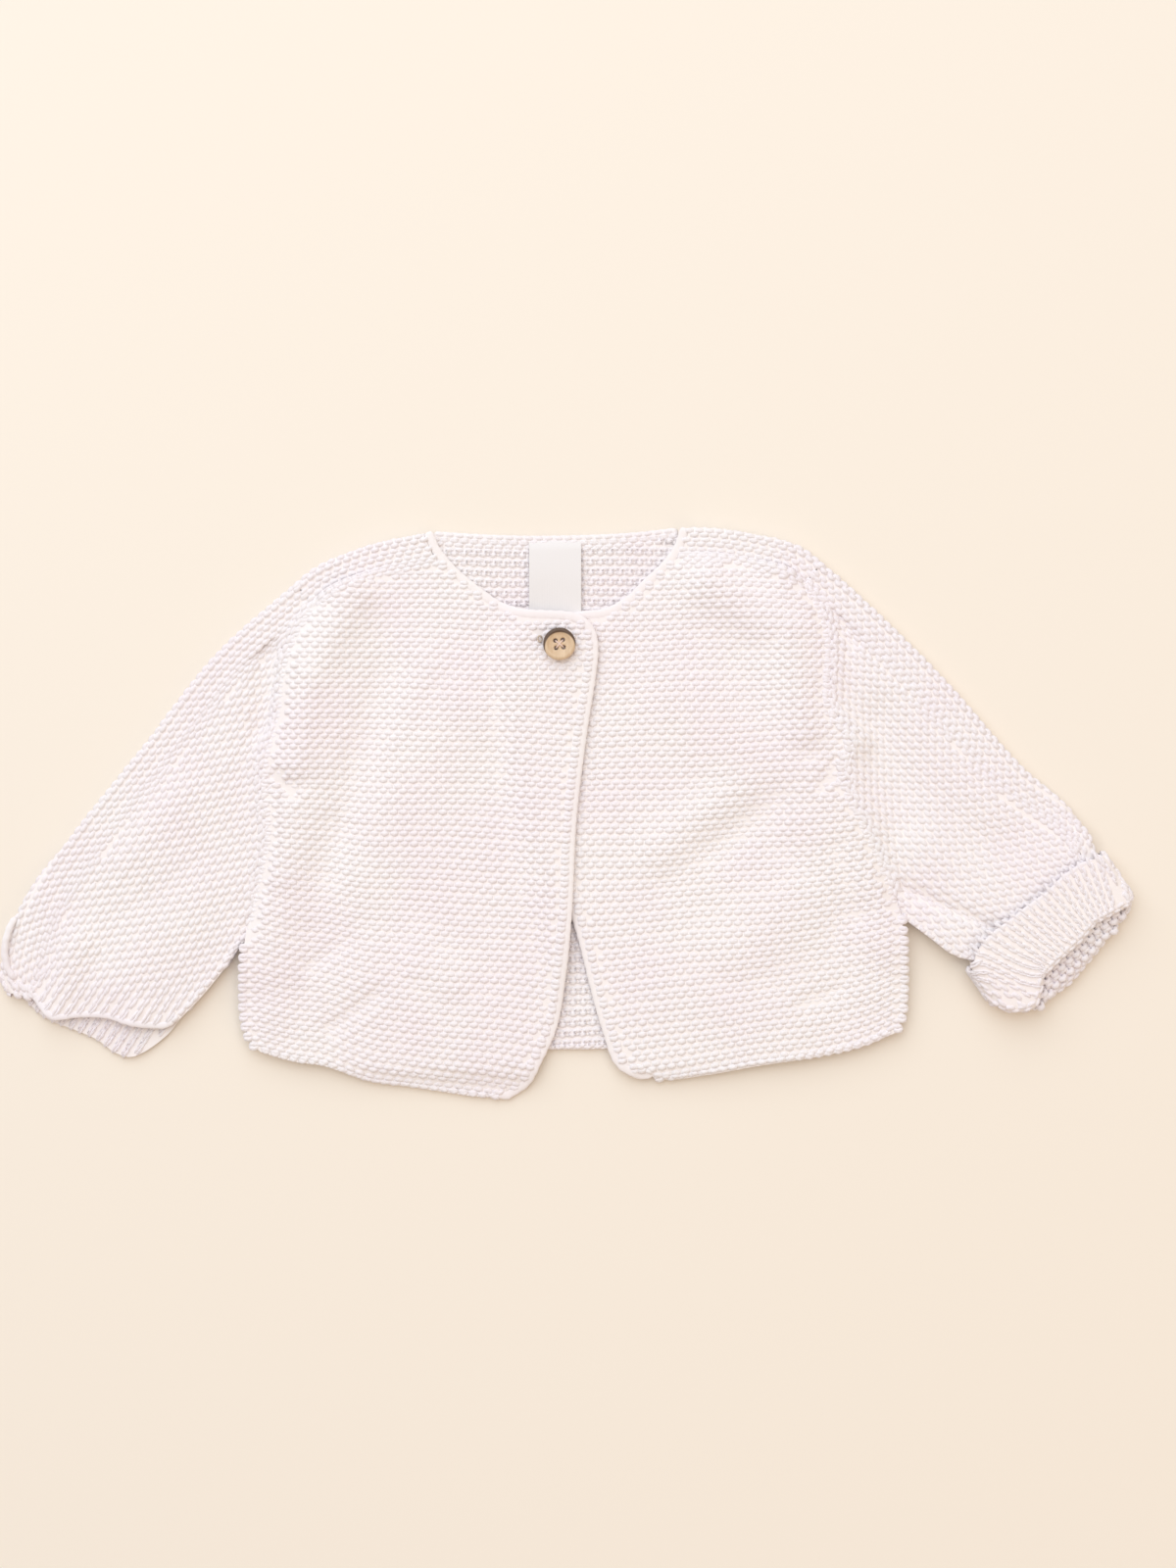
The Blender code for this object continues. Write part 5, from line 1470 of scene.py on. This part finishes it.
holes = circle((0.0, 0.0), BUTTON_HOLE_OFFSET, 4, BUTTON_TURN + math.pi / 4)
rings = [circle((0.0, 0.0), radius, 56) for radius, top, under in BUTTON_PROFILE[1:]]
for hole in holes:
    rings += [circle(hole, BUTTON_HOLE_RADIUS + COUNTERSINK, 18), circle(hole, BUTTON_HOLE_RADIUS, 18)]
points, edges = [], []
for ring in rings:
    first = len(points)
    points += map(Vector, ring)
    edges += [(first + k, first + (k + 1) % len(ring)) for k in range(len(ring))]
points, edges, faces = geometry.delaunay_2d_cdt(points, edges, [], 0, 1e-6)[:3]
radii, tops, unders = zip(*BUTTON_PROFILE)
shape = bmesh.new()
above, below = [], []
for side, heights, depth in zip((above, below), (tops, unders), BEVEL_DEPTHS):
    for point in points:
        bevel = depth * max(0.0, 1.0 - to_hole(point) / COUNTERSINK)
        level = BUTTON_BASE + np.interp(point.length, radii, heights) - bevel
        side.append(shape.verts.new(metres((BUTTON_CENTRE[0] + point.x, BUTTON_CENTRE[1] + point.y, level))))
for face in faces:
    middle = sum((points[i] for i in face), Vector((0.0, 0.0))) / len(face)
    if to_hole(middle) > -BUTTON_HOLE_RADIUS * HOLE_SLACK:
        shape.faces.new([above[i] for i in face])
        shape.faces.new([below[i] for i in reversed(face)])
beneath = dict(zip(above, below))
for edge in [edge for edge in shape.edges if edge.is_boundary and edge.verts[0] in beneath]:
    one, two = edge.verts
    shape.faces.new((two, one, beneath[one], beneath[two]))
bmesh.ops.delete(shape, geom=[vert for vert in shape.verts if not vert.link_faces], context="VERTS")

# Wood: pale streaks, and a dark brown crescent on the upper side of the rim, which is what lies outside
# a circle that is set off from the button's centre.
DARK_RIM_SHIFT = (0.25, -1.35)       # how far that circle is set off
wood, tree, shader = new_material("pale turned wood", (0.55, 0.37, 0.22), 0.42)
place = tree.place()
stretched = tree.add("ShaderNodeMapping", Vector=place, Scale=(900.0, 160.0, 300.0)).outputs["Vector"]
streaks = tree.mixed(tree.noise(1.0, 3.0, stretched), (0.56, 0.38, 0.22), (0.80, 0.61, 0.42))
offset = [(CENTRE[axis] - BUTTON_CENTRE[axis] - DARK_RIM_SHIFT[axis]) * MM for axis in (0, 1)]
centred = tree.add("ShaderNodeMapping", Vector=place, Location=(*offset, 0.0), Scale=(1.0, 1.0, 0.0))
radius = tree.add("ShaderNodeVectorMath", operation="LENGTH", Vector=centred.outputs["Vector"])
dark_upper_rim = tree.add("ShaderNodeMapRange", Value=radius.outputs["Value"], From_Min=5.4 * MM,
                     From_Max=5.8 * MM)
tree.set(shader, Base_Color=tree.mixed(dark_upper_rim.outputs["Result"], streaks, (0.10, 0.055, 0.03)))
button = smooth_object("turned_button", shape, wood)
print("button:", triangles(button), "triangles")

# %% Thread through the button and round the buttonhole's end
THREAD = 0.27                   # radius of the thread
THREAD_DIP = 1.2                # how far a strand goes down into a hole
strands = []
for first in (0, 1):
    t = np.linspace(0.0, 1.0, 13)
    start, end = (np.array(BUTTON_CENTRE) + holes[k] for k in (first, first + 2))
    level = BUTTON_BASE + BUTTON_PROFILE[0][1] + THREAD * 0.7 - THREAD_DIP * np.abs(2 * t - 1) ** 6
    path = raised(start + t[:, None] * (end - start), level)
    ahead = unit(np.gradient(path, axis=0))
    aside = unit(np.cross(ahead, (0.0, 0.0, 1.0)))
    strands.append((path, THREAD * aside, THREAD * np.cross(aside, ahead)))
button_thread = tube("button_thread", strands, sewing_thread)

HOLE_END = (-10.0, 63.7)        # middle of the ring of thread, which shows beside the button
HOLE_REACH = (0.72, 1.05)       # its half width and half length
HOLE_THREAD = 0.34              # radius of its thread
HOLE_SEAT = 1.7                 # how high it lies over the middle of the cloth
angle = np.linspace(0.0, math.tau, 28, endpoint=False)
out = np.stack([np.cos(angle), np.sin(angle)], axis=-1)
seat = front_height(np.array(HOLE_END) + 2.0 * out, right) + HOLE_SEAT
ring = (raised(HOLE_END + out * HOLE_REACH, seat), raised(out * HOLE_THREAD, 0.0),
        np.tile((0.0, 0.0, HOLE_THREAD), (len(out), 1)))
# The ring is buttonhole thread, darkened with painted shade where the end of the buttonhole lies in shade.
buttonhole_end = tube("buttonhole_end", [ring], thread_painted_shade, closed=True)
print("thread:", triangles(button_thread) + triangles(buttonhole_end), "triangles")

# %% The label
LABEL_WALL = 0.63
LABEL_LEVEL = WALL + GAP + 0.45  # of the middle of its cloth, before it swells
# left and right end at the neck, left and right end below
LABEL_CORNERS = np.array([[(-14, 101), (5.3, 101.3)], [(-14, 72.8), (5.3, 73.8)]])
across, down = np.linspace(0.0, 1.0, 13)[None, :, None], np.linspace(0.0, 1.0, 21)[:, None, None]
upper_end, lower_end = ((1 - across) * start + across * end for start, end in LABEL_CORNERS)
plan = (1 - down) * upper_end + down * lower_end
across, down = across[..., 0], down[..., 0]
swell = 0.7 * np.sin(math.pi * down) ** 2 + 0.12 * np.sin(3.0 * across + 5.0 * down)
sunk = 1.7 * (1.0 - smoothstep(down / 0.12))       # it goes down behind the edging of the neck
tape, tree, shader = new_material("woven cotton tape", (0.82, 0.785, 0.775), 0.85, Specular_IOR_Level=0.2)
warp = tree.add("ShaderNodeTexWave", Vector=tree.place(), Scale=520.0)
tree.set(shader, Normal=tree.bump(warp.outputs["Fac"], 0.15, 0.1))
label = cloth("woven_label", [raised(plan, LABEL_LEVEL + swell - sunk)], LABEL_WALL, tape)
print("label:", triangles(label), "triangles")

# %% [markdown]
# ## The body and the cloth
#
# Every piece rides on the one body. The shells replace the nodes they follow, and the area of each shell's
# cloth is printed. The stitches go with the shell they are on.

# %% Pieces on the body
# width and length of the cut in metres, its area in square metres, and what it lies on
FLAT = {
    "back": (0.246, 0.206, 0.0404, ["floor"]),
    "front_right": (0.128, 0.206, 0.0207, ["back", "sleeve_right_front"]),
    "front_left": (0.128, 0.206, 0.0200, ["back", "sleeve_left_front"]),
    "sleeve_right_back": (0.135, 0.165, 0.0125, ["floor"]),
    "sleeve_right_front": (0.090, 0.165, 0.0080, ["sleeve_right_back"]),
    "sleeve_left_back": (0.125, 0.150, 0.0111, ["floor"]),
    "sleeve_left_front": (0.090, 0.150, 0.0078, ["sleeve_left_back"]),
    "cuff_left": (0.140, 0.040, 0.0042, ["sleeve_left_front"]),
}


def ride(pieces):
    """Put pieces on the body and count their triangles."""
    for piece in pieces:
        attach(piece, "root")
    return sum(map(triangles, pieces))


total = 0
for node, (width, length, area, under) in FLAT.items():
    shell, *with_it = pieces_of[node]
    total += ride([shell, *with_it])
    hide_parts(node)
    # A shell has two faces, so its cloth is half its surface.
    print(f"{node}: {sum(polygon.area for polygon in shell.data.polygons) / 2:.4f} square metres of cloth")
for piece, node, slot in ((edging_right, "edging_right", "edging"), (edging_left, "edging_left", "edging"),
                          (edging_back, "edging_back", "edging"), (button, "button", "wood"),
                          (label, "label", "label")):
    total += ride([piece])
    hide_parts(node)
total += ride([button_thread, buttonhole_end])
print("triangles in all:", total)

sizes = {"cad": [list(corner) for corner in cad_box], "visual": [list(corner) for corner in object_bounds()]}
print("visual box:", sizes["visual"])
